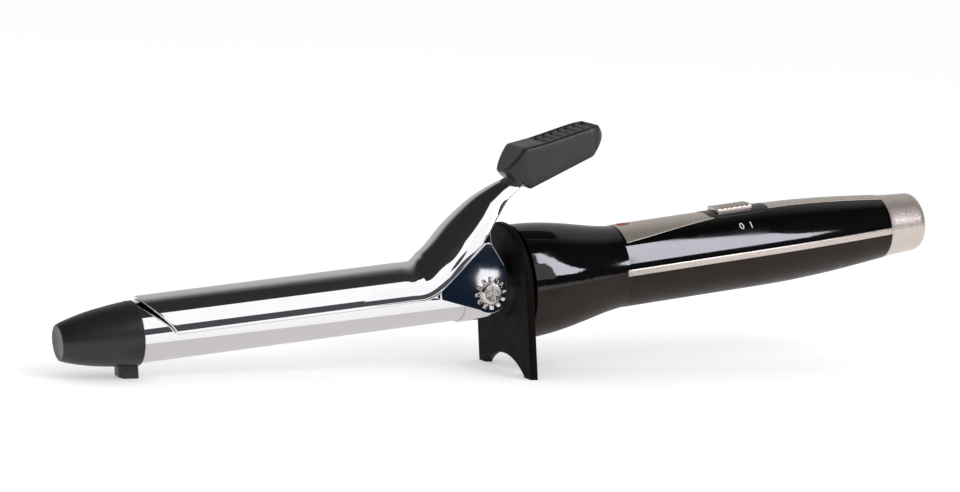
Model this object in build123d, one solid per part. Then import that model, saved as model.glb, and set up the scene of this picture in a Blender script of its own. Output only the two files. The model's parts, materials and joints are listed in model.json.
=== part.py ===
"""Curling iron with a spring clamp, a stand plate and a swivel cord outlet.

The iron frame has its origin on the clamp's pivot axis where it crosses the barrel axis.
X runs along the barrel from the cool tip (minus) to the handle (plus), Y is the pivot axis
and Z is up. The handle frame is the iron frame turned about the pivot by handle_lift.
Every piece is drawn in one of these two frames and then set down on the table plane z = 0.
"""
import os
from math import atan2, cos, degrees, radians, sin, tan

from build123d import *

# ---------------------------------------------------------------- driving dimensions, mm and degrees
barrel_radius = 11.0
barrel_wall = 0.8
barrel_hole_clearance = 0.5
barrel_length = 158.0            # whole tube, from the cool tip into the neck
barrel_seat_depth = 24.0         # from the pivot to the tube's end inside the neck

tip_length = 28.7
tip_rim_lip = 0.8                # tip's rim proud of the barrel
tip_nose_radius = 5.9
tip_nose_round = 0.8
tip_swell = (0.50, 0.82)         # share of the taper reached at a third and two thirds of the length
tip_wall = 1.6
tip_stub_length = 6.0
tip_spigot_length = 9.0
tip_spigot_wall = 2.9
tip_foot_length = 7.4
tip_foot_width = 6.2
tip_foot_inset = 0.2             # foot to the tip's rim face
tip_foot_reach = 3.8             # foot below the tip's rim
tip_foot_chamfer = 1.3
tip_foot_round = 1.2

clamp_sheet = 1.0
clamp_gap = 1.1                  # blade to barrel
blade_nose_gap = 0.85            # blade nose to the tip's rim
blade_nose_flare = 0.3           # nose arc wider than the blade
lever_joint = 26.0               # pivot to where the blade becomes the lever

pivot_pad_gap = 0.1              # bracket pad to the clamp's ear
shoulder_radius = 2.4
shoulder_clearance = 0.05
thread_radius = 1.6
screw_head_radius = 4.0
screw_head_height = 1.4
screw_head_round = 0.75
screw_slot_width = 0.95
screw_slot_depth = 0.75
screw_slot_span = 0.66           # share of the head's width
screw_length = 3.6
washer_gap = 0.1                 # washer to the clamp's ear
washer_thickness = 0.5
washer_rim = 0.3                 # washer's ring past the screw head
washer_tooth_radius = 6.1
washer_tooth_width = 1.35
washer_teeth = 12
ear_radius = 7.5
ear_heel_turn = 38.0             # where the ear's lower edge leaves its round, from straight down

bracket_sheet = 0.7
bracket_length = 18.0
bracket_pad_radius = 4.2

spring_strip = 0.5
spring_width = 7.0
spring_bend = 2.2
spring_seat = (-6.5, 6.0)        # flat part on the bracket: x
spring_knee = (5.2, 23.0)        # x, z
spring_tip = (-1.6, 30.4)

spreader_gap = 3.2               # between the two heat spreaders
spreader_groove_half = 2.0
spreader_groove_floor = 6.0
sleeve_wall = 0.25
sleeve_overhang = 2.0
heater_front_gap = 16.0          # barrel's front end to the heater
heater_rear_gap = 22.0           # heater to the pivot
stone_count = 3
stone_length = 24.0
stone_half_width = 6.0
strip_thickness = 0.275
strip_half_width = 6.2
strip_tail = 8.0                 # strips past the heater, for the leads
fuse_radius = 1.9
fuse_length = 9.5
fuse_lead_radius = 0.5
fuse_lead_length = 19.0
sensor_bead_radius = 1.4
sensor_bead_inset = 9.0          # bead before the heater's end
sensor_length = 21.0
sensor_sleeve_radius = 0.9
lead_radius = 0.8
lead_spread = 5.3
lead_bend = 4.0
lead_seat_length = 4.0
lead_rise = 9.0                  # last stretch of the leads, up to the board
lead_landing = 5.0               # leads' end behind the board's front edge
lead_end_gap = 0.6

stand_front = 10.35              # pivot to the plate's front face
stand_thickness = 3.0
stand_half_width = 22.5
stand_top_radius = 22.5
stand_top_height = 23.3
stand_drop = 32.6                # barrel axis to the table at the plate
stand_foot_width = 5.3
stand_arch_height = 6.4

thumb_half_width = 8.5
thumb_corner_radius = 8.2
thumb_edge_radius = 1.3
thumb_dish_half_width = 6.4
thumb_dish_front = 27.5
thumb_dish_rear = 49.5
thumb_dish_depth = 1.1
thumb_ribs = 6
thumb_rib_width = 1.1
thumb_rib_height = 0.7

handle_lift = 1.1                # handle axis rises this much towards the cord end
neck_gap = 1.65                  # plate to neck, where the collar's flange sits
neck_radius = 21.7
neck_crown = (13.0, 0.9)         # from the neck's face: how far it stays wide, and its drop there
neck_waist = (26.0, 0.1)         # where it is half-way down to the grip, and how much lower
neck_run_out = 0.12              # slope where the neck meets the grip
rear_run_out = 0.11              # slope at the end cap
rear_spare = 6.0                 # outline runs on under the cap
grip_radius = 15.6
grip_start = 57.0
grip_end = 118.0
rear_radius = 12.2
cap_joint = 173.0                # handle shells end and the end cap starts
cap_length = 17.8
cap_corner_radius = 2.9
cap_taper = 0.9                  # cap narrower at its corner than at the joint
cap_crown = 0.6                  # end face bulges this much
cap_spigot_length = 7.0
cap_spigot_wall = 1.55
cap_wall_gap = 11.0              # joint to the wall that holds the swivel
shell_wall = 2.2
neck_wall = 2.6
collar_flange_radius = 17.5
collar_spigot_wall = 3.45
collar_depth = 14.0
collar_lip = 1.0                 # stops the tube's end

trim_proud = 0.25
trim_thickness = 1.4
side_trim_width = 2.6
side_trim_overlap = 1.2          # side trims start this much before the grip
top_trim_half_widths = (11.4, 10.1, 6.8, 4.9, 4.6)   # neck end, near it, at the switch, behind it, cap end

lamp_start = 59.0
lamp_length = 6.0
lamp_width = 4.2

switch_start = 96.5
switch_length = 26.0
switch_width = 14.0
knob_length = 15.0
knob_width = 8.6
knob_height = 2.0
knob_float = 0.35                # knob to bezel
knob_travel = 4.0
knob_middle = 12.0               # from the bezel's front end, at rest
knob_ribs = 6
knob_rib_radius = 0.55
knob_rib_margin = 2.2
knob_corner_radius = 1.4
stem_length = 5.0
stem_width = 3.2
stem_root = 2.6                  # stem's lower end above the circuit board
slot_width = 5.2
slot_spare = 1.0                 # slot past the stem's travel at each end
bezel_corner_radius = 3.0
bezel_proud = 0.4

board_start = 59.5
board_length = 76.0
board_margin = 2.3               # board's long edges to the shell
board_thickness = 1.4
board_depth = 7.6                # board's underside below the grip's hollow
board_ribs = (16.0, 70.0)        # ribs over the board, from its front end
board_rib_thickness = 2.0
switch_body_length = 18.0
switch_body_width = 7.2
switch_body_height = 5.2
switch_pocket_width = 4.0
switch_pocket_floor = 1.6
lamp_radius = 1.5
lamp_gap = 1.0                   # lamp to the grip's hollow
lens_proud = 0.35

cord_bore_radius = 3.3
swivel_radius = 4.92
swivel_clearance = 0.07
swivel_flange_radius = 7.6

swivel_flange_thickness = 2.3
swivel_flange_gap = 0.3          # flange to the cap's wall
swivel_stub_length = 13.0
ring_height = 0.3                # slip rings proud of the stem's radius
ring_seat = 0.4                  # stub smaller than the stem
ring_width = 2.4
ring_places = (11.5, 6.5)        # rings' front ends before the cap's wall
brush_gap = 0.3
brush_thickness = 0.5
brush_width = 3.0
brush_length = 1.6

housing_screw_places = (42.0, 151.0)
housing_screw_head_radius = 2.7
housing_screw_core_radius = 1.2
screw_seat = 7.0                 # head's seat below the handle axis
screw_head_depth = 2.0
screw_reach = 8.0                # screw's end above the handle axis
screw_recess = (3.0, 0.7, 0.7)   # cross recess: span, width, depth
counterbore_clearance = 0.25
core_clearance = 0.35
boss_radius_upper = 3.3
boss_radius_lower = 4.2

fit = 0.05                       # clearance between pieces of one body

# ---------------------------------------------------------------- sizes that follow
barrel_end = barrel_seat_depth
barrel_start = barrel_end - barrel_length
barrel_bore = barrel_radius - barrel_wall
tip_rim_radius = barrel_radius + tip_rim_lip
tip_foot_drop = tip_rim_radius + tip_foot_reach
tip_foot_rear = barrel_start - tip_foot_inset
tip_foot_middle = tip_foot_rear - tip_foot_length / 2
blade_inner = barrel_radius + clamp_gap
blade_outer = blade_inner + clamp_sheet
blade_nose = barrel_start + blade_nose_gap
bracket_inner = barrel_radius + fit
bracket_outer = bracket_inner + bracket_sheet
pad_face = blade_inner - pivot_pad_gap
washer_face = blade_outer + washer_gap
head_face = washer_face + washer_thickness
heater_start = barrel_start + heater_front_gap
heater_end = -heater_rear_gap
strip_outer = spreader_gap / 2 - fit / 2
strip_inner = strip_outer - strip_thickness
neck_start = stand_front + stand_thickness + neck_gap
collar_spigot_radius = bracket_inner + collar_spigot_wall
cap_end = cap_joint + cap_length
cap_wall_start = cap_joint + cap_wall_gap
cap_spigot_radius = rear_radius - shell_wall - 0.1 - 5 * fit
cap_bore = cap_spigot_radius - cap_spigot_wall
board_height = grip_radius - shell_wall - board_depth
board_top = board_height + board_thickness
knob_foot = grip_radius + bezel_proud + knob_float
stand_middle = stand_front + stand_thickness / 2
rest_pitch = degrees(atan2(stand_drop - tip_foot_drop, stand_middle - tip_foot_middle))
pivot_height = stand_drop * cos(radians(rest_pitch)) - stand_middle * sin(radians(rest_pitch))
FAR = 400.0
WIDE = 60.0


# ---------------------------------------------------------------- helpers
def rod_x(radius, start, end, y=0.0, z=0.0):
    """Round rod along X."""
    return Pos((start + end) / 2, y, z) * Rot(0, 90, 0) * Cylinder(radius, end - start)


def tube_x(outer, inner, start, end):
    """Round tube along X."""
    return rod_x(outer, start, end) - rod_x(inner, start - 1, end + 1)


def rod_y(radius, start, end, x=0.0, z=0.0):
    """Round rod along Y."""
    return Pos(x, (start + end) / 2, z) * Rot(90, 0, 0) * Cylinder(radius, abs(end - start))


def rod_z(radius, start, end, x=0.0, y=0.0):
    """Round rod along Z."""
    return Pos(x, y, (start + end) / 2) * Cylinder(radius, end - start)


def block(x0, x1, y0, y1, z0, z1):
    """Box between two corners."""
    return Pos((x0 + x1) / 2, (y0 + y1) / 2, (z0 + z1) / 2) * Box(x1 - x0, y1 - y0, z1 - z0)


def slot_z(start, end, width, bottom, top):
    """Upright prism with a slot outline along X, its ends half round."""
    outline = Pos((start + end) / 2, 0, bottom) * RectangleRounded(end - start, width, width / 2 - 0.01)
    return extrude(outline, top - bottom, dir=(0, 0, 1))


def side_plate(edges, half_width):
    """Extrude a closed outline in the XZ plane to both sides."""
    return extrude(make_face(edges), half_width, dir=(0, 1, 0), both=True)


def turned(edges):
    """Solid of revolution about X of a closed outline in the XZ plane."""
    return revolve(make_face(edges), Axis.X, 360)


def mirrored_pair(piece):
    """A piece and its mirror image across the XZ plane."""
    return [piece, mirror(piece, Plane.XZ)]


# ---------------------------------------------------------------- tip and barrel
def tip_profile():
    """Half outline of the cool tip, a bullet with a flat nose and a rounded nose edge."""
    nose = barrel_start - tip_length
    edge = tip_nose_radius + tip_nose_round
    taper = tip_rim_radius - edge
    side = Spline(
        (nose + tip_nose_round, 0, edge),
        (nose + 0.33 * tip_length, 0, edge + tip_swell[0] * taper),
        (nose + 0.67 * tip_length, 0, edge + tip_swell[1] * taper),
        (barrel_start, 0, tip_rim_radius),
        tangents=[(1, 0, 0.55), (1, 0, 0.04)],
    )
    corner = Line((nose, 0, tip_nose_radius), (nose + tip_nose_round, 0, edge))
    return [
        side,
        Line((barrel_start, 0, tip_rim_radius), (barrel_start, 0, 0)),
        Line((barrel_start, 0, 0), (nose, 0, 0)),
        Line((nose, 0, 0), (nose, 0, tip_nose_radius)),
        corner,
    ]


def cool_tip():
    """Hollow plastic tip with a socket for the insulator and a foot to lie on."""
    foot_sink = 3.0
    body = turned(tip_profile())
    foot = block(
        tip_foot_rear - tip_foot_length, tip_foot_rear,
        -tip_foot_width / 2, tip_foot_width / 2, -tip_foot_drop - foot_sink, -tip_rim_radius + foot_sink,
    )
    foot = fillet(foot.edges().filter_by(Axis.Z), tip_foot_round)
    socket = rod_x(barrel_bore - tip_wall, barrel_start - 0.55 * tip_length, barrel_start + 1)
    return body + foot - socket - table_side(chamfered_at=tip_foot_rear - tip_foot_length)


def table_side(chamfered_at=None):
    """Everything under the table plane, in the iron frame, with a chamfer wedge if asked."""
    under = Pos(0, 0, -pivot_height - FAR / 2) * Box(2 * FAR, FAR, FAR)
    under = Rot(0, rest_pitch, 0) * under
    if chamfered_at is not None:
        wedge = Pos(chamfered_at, 0, -tip_foot_drop) * Rot(0, 45, 0) * Box(
            tip_foot_chamfer * 2, 4 * tip_foot_width, tip_foot_chamfer * 2)
        under += wedge
    return under


def tip_insulator():
    """Plug that keeps the plastic tip off the hot tube: a spigot in the tube and a stub in the tip."""
    stub_radius = barrel_bore - tip_wall - fit
    plug = rod_x(barrel_bore - fit, barrel_start + fit, barrel_start + tip_spigot_length)
    stub = rod_x(stub_radius, barrel_start - tip_stub_length, barrel_start + 1)
    bore = rod_x(stub_radius - tip_spigot_wall, barrel_start - tip_stub_length - 1,
                 barrel_start + tip_spigot_length + 1)
    return plug + stub - bore


def barrel_tube():
    """Chromed steel tube with two clearance holes for the pivot screws."""
    tube = tube_x(barrel_radius, barrel_bore, barrel_start, barrel_end)
    return tube - rod_y(thread_radius + barrel_hole_clearance, -barrel_radius - 2, barrel_radius + 2)


# ---------------------------------------------------------------- heater
def heat_spreader(side):
    """Half-round aluminium bar, flat side on the heater stones and grooved on its crown."""
    bar = rod_x(barrel_bore - sleeve_wall - 2 * fit, heater_start, heater_end)
    bar -= block(heater_start - 1, heater_end + 1, -WIDE, WIDE, -WIDE, spreader_gap / 2)
    bar -= block(heater_start - 1, heater_end + 1, -spreader_groove_half, spreader_groove_half,
                 spreader_groove_floor, WIDE)
    return bar if side > 0 else mirror(bar, Plane.XY)


def ptc_stones():
    """Ceramic heater stones in a row between the electrode strips."""
    pitch = (heater_end - heater_start) / stone_count
    half_height = strip_inner - fit
    stones = []
    for k in range(stone_count):
        middle = heater_start + pitch * (k + 0.5)
        stones.append(block(middle - stone_length / 2, middle + stone_length / 2,
                            -stone_half_width, stone_half_width, -half_height, half_height))
    return stones


def electrode_strips():
    """Two thin strips that carry the current to the stones."""
    strips = []
    for side in (-1, 1):
        low, high = sorted((side * strip_inner, side * strip_outer))
        strips.append(block(heater_start + 2, heater_end + strip_tail,
                            -strip_half_width, strip_half_width, low, high))
    return strips


def heater_sleeve():
    """Insulating film round the spreaders."""
    outer = barrel_bore - fit
    return tube_x(outer, outer - sleeve_wall, heater_start - sleeve_overhang, heater_end + sleeve_overhang)


def thermal_fuse():
    """Axial thermal fuse whose front lead lies under the lower electrode's tail."""
    height = -strip_outer - fuse_lead_radius - fit / 2
    lead_start = heater_end + strip_tail - 3.5
    body_start = lead_start + (fuse_lead_length - fuse_length) / 2
    body = rod_x(fuse_radius, body_start, body_start + fuse_length, 0, height)
    return body + rod_x(fuse_lead_radius, lead_start, lead_start + fuse_lead_length, 0, height)


def temperature_sensor():
    """Bead thermistor with its sleeve, laid in the upper spreader's groove."""
    bead_place = heater_end - sensor_bead_inset
    height = spreader_groove_floor + sensor_bead_radius + fit
    bead = Pos(bead_place, 0, height) * Sphere(sensor_bead_radius)
    return bead + rod_x(sensor_sleeve_radius, bead_place, bead_place + sensor_length, 0, height)


def heater_leads():
    """One wire from inside each electrode's tail to the underside of the circuit board."""
    seat = strip_inner - lead_radius - fit
    end = board_start + lead_landing
    board_under = board_height + tan(radians(handle_lift)) * (end - 1)
    wires = []
    for side in (-1, 1):
        y = side * lead_spread
        start = (heater_end + strip_tail - lead_seat_length, y, side * seat)
        knee = (end - lead_rise, y, side * seat)
        path = FilletPolyline(start, knee, (end, y, board_under - lead_end_gap), radius=lead_bend)
        section = Plane(origin=path @ 0, z_dir=path % 0) * Circle(lead_radius)
        wires.append(sweep(section, path))
    return wires


# ---------------------------------------------------------------- hinge
def hinge_bracket():
    """Strap round the barrel with a flat threaded pad each side."""
    strap = tube_x(bracket_outer, bracket_inner, -bracket_length / 2, bracket_length / 2)
    pads = rod_y(bracket_pad_radius, -pad_face, pad_face) - rod_x(bracket_inner, -20, 20)
    bracket = strap + pads
    return bracket - rod_y(thread_radius + fit, -pad_face - 1, pad_face + 1)


def pivot_screw():
    """Shoulder screw with a rounded cross-slotted head, on the left side."""
    shoulder = rod_y(shoulder_radius, pad_face, head_face)
    thread = rod_y(thread_radius, pad_face - screw_length, pad_face)
    head_top = head_face + screw_head_height
    head = rod_y(screw_head_radius, head_face, head_top)
    rim = head.edges().filter_by(GeomType.CIRCLE).sort_by(Axis.Y)[-1]
    head = fillet(rim, screw_head_round)
    for angle in (45, 135):
        groove = Box(2 * screw_head_radius * screw_slot_span, screw_slot_depth * 2, screw_slot_width)
        head -= Pos(0, head_top, 0) * Rot(0, angle, 0) * groove
    return shoulder + thread + head


def lock_washer():
    """External-tooth washer under the screw head, on the left side."""
    washer = rod_y(screw_head_radius + washer_rim, washer_face, head_face)
    tooth_length = washer_tooth_radius - screw_head_radius
    tooth = Box(tooth_length, washer_thickness, washer_tooth_width)
    tooth = Pos(washer_tooth_radius - tooth_length / 2, 0, 0) * tooth
    for k in range(washer_teeth):
        washer += Pos(0, (washer_face + head_face) / 2, 0) * Rot(0, k * 360 / washer_teeth, 0) * tooth
    return washer - rod_y(shoulder_radius + fit, washer_face - 1, head_face + 1)


# ---------------------------------------------------------------- clamp
# Lever stations from the blade to the tang under the thumb rest:
# middle of the open side (x, z), crest direction (x, z), half width, crest height.
lever_stations = [
    ((-lever_joint, 0.0), (0.0, 1.0), blade_outer, blade_outer),
    ((-14.5, 5.6), (-0.50, 0.866), blade_outer - 0.35, blade_outer - 0.3),
    ((-1.8, 18.2), (-0.66, 0.75), blade_outer - 0.9, blade_outer - 1.4),
    ((5.9, 26.8), (-0.50, 0.866), 9.2, 9.0),
    ((12.4, 33.0), (-0.42, 0.907), 6.2, 6.0),
    ((18.6, 36.9), (-0.37, 0.929), 4.6, 4.2),
]
# Ear outline above the pivot, from the front of the hole round to the back: x, z.
ear_front = (ear_radius, 0.0)
ear_brow = (6.4, 9.0)
ear_shoulder = (1.6, 17.5)
ear_crest = (0.0, 18.9)
ear_back = (-2.4, 18.4)
ear_saddle = (-15.0, 7.0)
ear_tail = (-24.0, 2.0)


def upright(point):
    """Point of the XZ plane."""
    return (point[0], 0, point[1])


def lever_section(station, thickness):
    """Half ring across the lever, with the sheet's thickness inwards."""
    (x, z), (nx, nz), width, height = station
    plane = Plane(origin=(x, 0, z), x_dir=(0, 1, 0), z_dir=(nz, 0, -nx))
    outer = EllipticalCenterArc((0, 0), width, height, start_angle=0, arc_size=180)
    inner = EllipticalCenterArc((0, 0), width - thickness, height - thickness, start_angle=0, arc_size=180)
    ends = [Line(outer @ 0, inner @ 0), Line(outer @ 1, inner @ 1)]
    return plane * make_face([outer, inner] + ends)


def clamp_blade():
    """Pressed sheet clamp: half-round blade, horn-shaped lever and two pivot ears."""
    joint = -lever_joint
    blade = tube_x(blade_outer, blade_inner, blade_nose, joint)
    blade -= block(blade_nose - 1, joint + 1, -WIDE, WIDE, -WIDE, 0)
    nose_radius = blade_outer + blade_nose_flare
    nose_middle = blade_nose + nose_radius
    keep = block(nose_middle, joint + 1, -WIDE, WIDE, -1, WIDE) + rod_z(nose_radius, -1, WIDE, nose_middle)
    blade = blade & keep
    lever = loft([lever_section(s, clamp_sheet) for s in lever_stations])
    return blade + lever + ears()


def ears():
    """Flat ears that carry the pivot holes."""
    turn = radians(ear_heel_turn)
    heel = (-ear_radius * sin(turn), -ear_radius * cos(turn))
    toe = (-heel[0], heel[1])
    outline = [
        Line(upright((ear_tail[0], 0)), upright(heel)),
        ThreePointArc(upright(heel), upright(toe), upright(ear_front)),
        Line(upright(ear_front), upright(ear_brow)),
        Line(upright(ear_brow), upright(ear_shoulder)),
        ThreePointArc(upright(ear_shoulder), upright(ear_crest), upright(ear_back)),
        Line(upright(ear_back), upright(ear_saddle)),
        Line(upright(ear_saddle), upright(ear_tail)),
        Line(upright(ear_tail), upright((ear_tail[0], 0))),
    ]
    plate = side_plate(outline, blade_outer)
    plate -= block(-WIDE, WIDE, -blade_inner, blade_inner, -WIDE, WIDE)
    return plate - rod_y(shoulder_radius + shoulder_clearance, -WIDE, WIDE)


def clamp_spring():
    """Spring strip welded to the bracket; its free end pushes up inside the lever."""
    base = bracket_outer + fit + spring_strip / 2
    seat = [(x, 0, base) for x in spring_seat]
    path = FilletPolyline(*seat, upright(spring_knee), upright(spring_tip), radius=spring_bend)
    section = Plane(origin=path @ 0, x_dir=(0, 1, 0), z_dir=path % 0) * Rectangle(spring_width, spring_strip)
    return sweep(section, path, transition=Transition.ROUND)


# Thumb rest outline, seen from the side: x, z.
thumb_front_low = (11.6, 42.6)
thumb_front_high = (18.8, 51.3)
thumb_top = (33.0, 53.6)
thumb_rear_high = (50.0, 56.9)
thumb_rear_tip = (53.6, 52.4)
thumb_rear_low = (47.0, 45.3)
thumb_foot = (20.4, 35.8)


def thumb_rest(blade):
    """Thumb paddle moulded over the lever's end, with a ribbed dish on top."""
    outline = [
        Line(upright(thumb_front_low), upright(thumb_front_high)),
        ThreePointArc(upright(thumb_front_high), upright(thumb_top), upright(thumb_rear_high)),
        Line(upright(thumb_rear_high), upright(thumb_rear_tip)),
        Line(upright(thumb_rear_tip), upright(thumb_rear_low)),
        Line(upright(thumb_rear_low), upright(thumb_foot)),
        Line(upright(thumb_foot), upright(thumb_front_low)),
    ]
    paddle = side_plate(outline, thumb_half_width)
    length = thumb_rear_tip[0] - thumb_front_low[0]
    middle = (thumb_rear_tip[0] + thumb_front_low[0]) / 2
    plan = Pos(middle, 0, 0) * RectangleRounded(length + 0.4, 2 * thumb_half_width, thumb_corner_radius)
    paddle = paddle & extrude(plan, FAR, dir=(0, 0, 1))
    paddle = fillet(paddle.edges(), thumb_edge_radius)
    return paddle - thumb_dish() - blade


def thumb_dish():
    """Shallow pocket in the thumb rest's top, less the ribs that stay in it."""
    rise = atan2(thumb_rear_high[1] - thumb_top[1], thumb_rear_high[0] - thumb_top[0])
    length = thumb_dish_rear - thumb_dish_front
    corner = thumb_dish_half_width - 0.6
    pocket = extrude(RectangleRounded(length, 2 * thumb_dish_half_width, corner), 10, dir=(0, 0, 1))
    pitch = length / (thumb_ribs + 1)
    for k in range(thumb_ribs):
        x = (k + 1) * pitch - length / 2
        pocket -= block(x - thumb_rib_width / 2, x + thumb_rib_width / 2,
                        -thumb_half_width, thumb_half_width, -1, thumb_rib_height)
    middle = (thumb_dish_front + thumb_dish_rear) / 2
    top = thumb_top[1] + (middle - thumb_top[0]) * tan(rise)
    return Pos(middle, 0, top - thumb_dish_depth) * Rot(0, -degrees(rise), 0) * pocket


# ---------------------------------------------------------------- stand and collar
def stand_plate():
    """Round-topped plate across the barrel with two feet and an arch between them."""
    end = stand_front + stand_thickness
    top_centre = stand_top_height - stand_top_radius
    round_top = rod_x(stand_top_radius, stand_front, end, 0, top_centre)
    skirt = block(stand_front, end, -stand_half_width, stand_half_width, -stand_drop - 4, top_centre)
    chord = stand_half_width - stand_foot_width
    arch_radius = (chord**2 + stand_arch_height**2) / (2 * stand_arch_height)
    arch_centre = -stand_drop + stand_arch_height - arch_radius
    plate = round_top + skirt
    plate -= rod_x(arch_radius, stand_front - 1, end + 1, 0, arch_centre)
    plate -= rod_x(bracket_inner, stand_front - 1, end + 1)
    return plate - table_side()


def barrel_collar():
    """Heat-proof collar that grips the tube's end inside the neck."""
    flange = rod_x(collar_flange_radius, stand_front + stand_thickness, neck_start)
    spigot = rod_x(collar_spigot_radius, neck_start, neck_start + collar_depth)
    lip = rod_x(barrel_bore - collar_lip, 0, WIDE)
    seat = rod_x(bracket_inner, 0, barrel_end + fit)
    return flange + spigot - seat - lip


# ---------------------------------------------------------------- handle, drawn in the handle frame
def handle_outline(shrink):
    """Half outline of the handle from the neck to the cap's joint."""
    start = neck_start - 4
    rear_end = cap_joint + rear_spare
    half_way = 0.5 * (neck_radius + grip_radius)
    neck = Spline(
        (start, 0, neck_radius - shrink),
        (neck_start + neck_crown[0], 0, neck_radius - neck_crown[1] - shrink),
        (neck_start + neck_waist[0], 0, half_way - neck_waist[1] - shrink),
        (grip_start, 0, grip_radius - shrink),
        tangents=[(1, 0, 0), (1, 0, -neck_run_out)],
    )
    grip = Line((grip_start, 0, grip_radius - shrink), (grip_end, 0, grip_radius - shrink))
    rear = Spline(
        (grip_end, 0, grip_radius - shrink),
        (rear_end, 0, rear_radius - rear_run_out * (rear_spare - 1) - shrink),
        tangents=[(1, 0, 0), (1, 0, -rear_run_out)],
    )
    return [
        neck, grip, rear,
        Line(rear @ 1, (rear_end, 0, 0)),
        Line((rear_end, 0, 0), (start, 0, 0)),
        Line((start, 0, 0), neck @ 0),
    ]


def handle_form(shrink):
    """Solid of the handle's shape, smaller all round by shrink."""
    return turned(handle_outline(shrink))


def shell_blank():
    """Hollow handle between the neck's face and the cap's joint, with a front wall."""
    iron_frame = Rot(0, handle_lift, 0)
    hollow = handle_form(shell_wall) & (iron_frame * block(neck_start + neck_wall, FAR, -WIDE, WIDE, -WIDE, WIDE))
    behind_face = iron_frame * block(neck_start + fit, FAR, -WIDE, WIDE, -WIDE, WIDE)
    before_cap = block(-FAR, cap_joint, -WIDE, WIDE, -WIDE, WIDE)
    blank = (handle_form(0.0) & behind_face & before_cap) - hollow
    return blank - iron_frame * rod_x(collar_spigot_radius + fit, 0, neck_start + collar_depth + fit)


def trim_window(inner):
    """Band just under the handle's surface where trims are let in."""
    return handle_form(-trim_proud) - handle_form(inner)


def side_trim_prism():
    """Long box that cuts the side trims and their grooves."""
    return block(grip_start - side_trim_overlap, cap_joint, -WIDE, WIDE, -side_trim_width / 2, side_trim_width / 2)


def top_trim_prism():
    """Upright prism with the top trim's outline, wide at the neck and narrow behind."""
    places = (grip_start + 1, grip_start + 14, switch_start, switch_start + 40, cap_joint)
    left = Spline(*[(x, width, 0) for x, width in zip(places, top_trim_half_widths)])
    right = mirror(left, Plane.XZ)
    ends = [Line(left @ 0, right @ 0), Line(left @ 1, right @ 1)]
    return extrude(make_face([left, right] + ends), 2 * grip_radius, dir=(0, 0, 1))


def switch_prism():
    """Upright prism of the switch bezel's outline."""
    outline = RectangleRounded(switch_length, switch_width, bezel_corner_radius)
    place = Pos(switch_start + switch_length / 2, 0, grip_radius / 2)
    return extrude(place * outline, grip_radius, dir=(0, 0, 1))


def lamp_prism(grow=0.0):
    """Upright prism of the lamp window."""
    return slot_z(lamp_start - grow, lamp_start + lamp_length + grow, lamp_width + 2 * grow,
                  grip_radius / 2, 2 * grip_radius)


def knob_slot():
    """Opening that the knob's stem slides in."""
    middle = switch_start + knob_middle
    front = middle - stem_length / 2 - knob_travel - slot_spare
    rear = middle + stem_length / 2 + slot_spare
    return slot_z(front, rear, slot_width, board_top, 2 * grip_radius)


def screw_boss(x, upper):
    """Boss that a housing screw runs through."""
    inside = handle_form(shell_wall - 0.4)
    if upper:
        return rod_z(boss_radius_upper, 0.1, WIDE, x) & inside
    return rod_z(boss_radius_lower, -WIDE, 0, x) & inside


def handle_upper_shell():
    """Gloss upper shell with the neck's top half, trim recesses and board ribs."""
    shell = shell_blank() & block(0, FAR, -WIDE, WIDE, 0, WIDE)
    for place in board_ribs:
        rib_x = board_start + place
        rib = block(rib_x, rib_x + board_rib_thickness,
                    -board_half_width(), board_half_width(), board_top + fit, WIDE)
        shell += rib & handle_form(shell_wall - 0.4)
    for x in housing_screw_places:
        shell += screw_boss(x, True)
        shell -= rod_z(housing_screw_core_radius + fit, -1, screw_reach + 1, x)
    shell -= trim_window(trim_thickness) & top_trim_prism()
    shell -= trim_window(trim_thickness) & side_trim_prism()
    shell -= handle_form(-1) & switch_prism()
    shell += (handle_form(trim_thickness) - handle_form(shell_wall)) & switch_prism()
    shell -= knob_slot()
    return shell - lamp_prism(fit)


def handle_lower_shell():
    """Satin lower shell with screw bosses and counterbores."""
    shell = shell_blank() & block(0, FAR, -WIDE, WIDE, -WIDE, 0)
    for x in housing_screw_places:
        shell += screw_boss(x, False)
        shell -= rod_z(housing_screw_core_radius + core_clearance, -WIDE, 1, x)
        shell -= rod_z(housing_screw_head_radius + counterbore_clearance, -WIDE, -screw_seat, x)
    return shell - (trim_window(trim_thickness) & side_trim_prism())


def side_trim(side):
    """Slim trim strip along the parting line."""
    strip = trim_window(trim_thickness) & side_trim_prism()
    near, far = sorted((0, side * WIDE))
    return strip & block(0, FAR, near, far, -side_trim_width, side_trim_width)


def top_trim(rear):
    """Top trim strip before or behind the switch, the front one with the lamp's opening."""
    strip = trim_window(trim_thickness) & top_trim_prism()
    strip = strip - switch_prism() - lamp_prism(fit)
    middle = switch_start + switch_length / 2
    start, end = (middle, FAR) if rear else (0, middle)
    return strip & block(start, end, -WIDE, WIDE, 0, WIDE)


def switch_bezel():
    """Dark frame round the slide switch."""
    frame = (handle_form(-bezel_proud) - handle_form(trim_thickness)) & switch_prism()
    return frame - knob_slot()


def switch_knob():
    """Ribbed slide knob with its stem."""
    middle = switch_start + knob_middle
    top = knob_foot + knob_height
    crown = rod_x(top, middle - knob_length / 2, middle + knob_length / 2)
    crown -= rod_x(knob_foot, middle - knob_length, middle + knob_length)
    cap = Pos(middle, 0, knob_foot / 2) * RectangleRounded(knob_length, knob_width, knob_corner_radius)
    knob = crown & extrude(cap, grip_radius, dir=(0, 0, 1))
    span = knob_length - 2 * knob_rib_margin
    for k in range(knob_ribs):
        x = middle - span / 2 + k * span / (knob_ribs - 1)
        knob -= Pos(x, 0, top + 0.1) * Rot(90, 0, 0) * Cylinder(knob_rib_radius, 2 * knob_width)
    stem = slot_z(middle - stem_length / 2, middle + stem_length / 2, stem_width,
                  board_top + stem_root, knob_foot + knob_height / 3)
    return knob + stem


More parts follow.
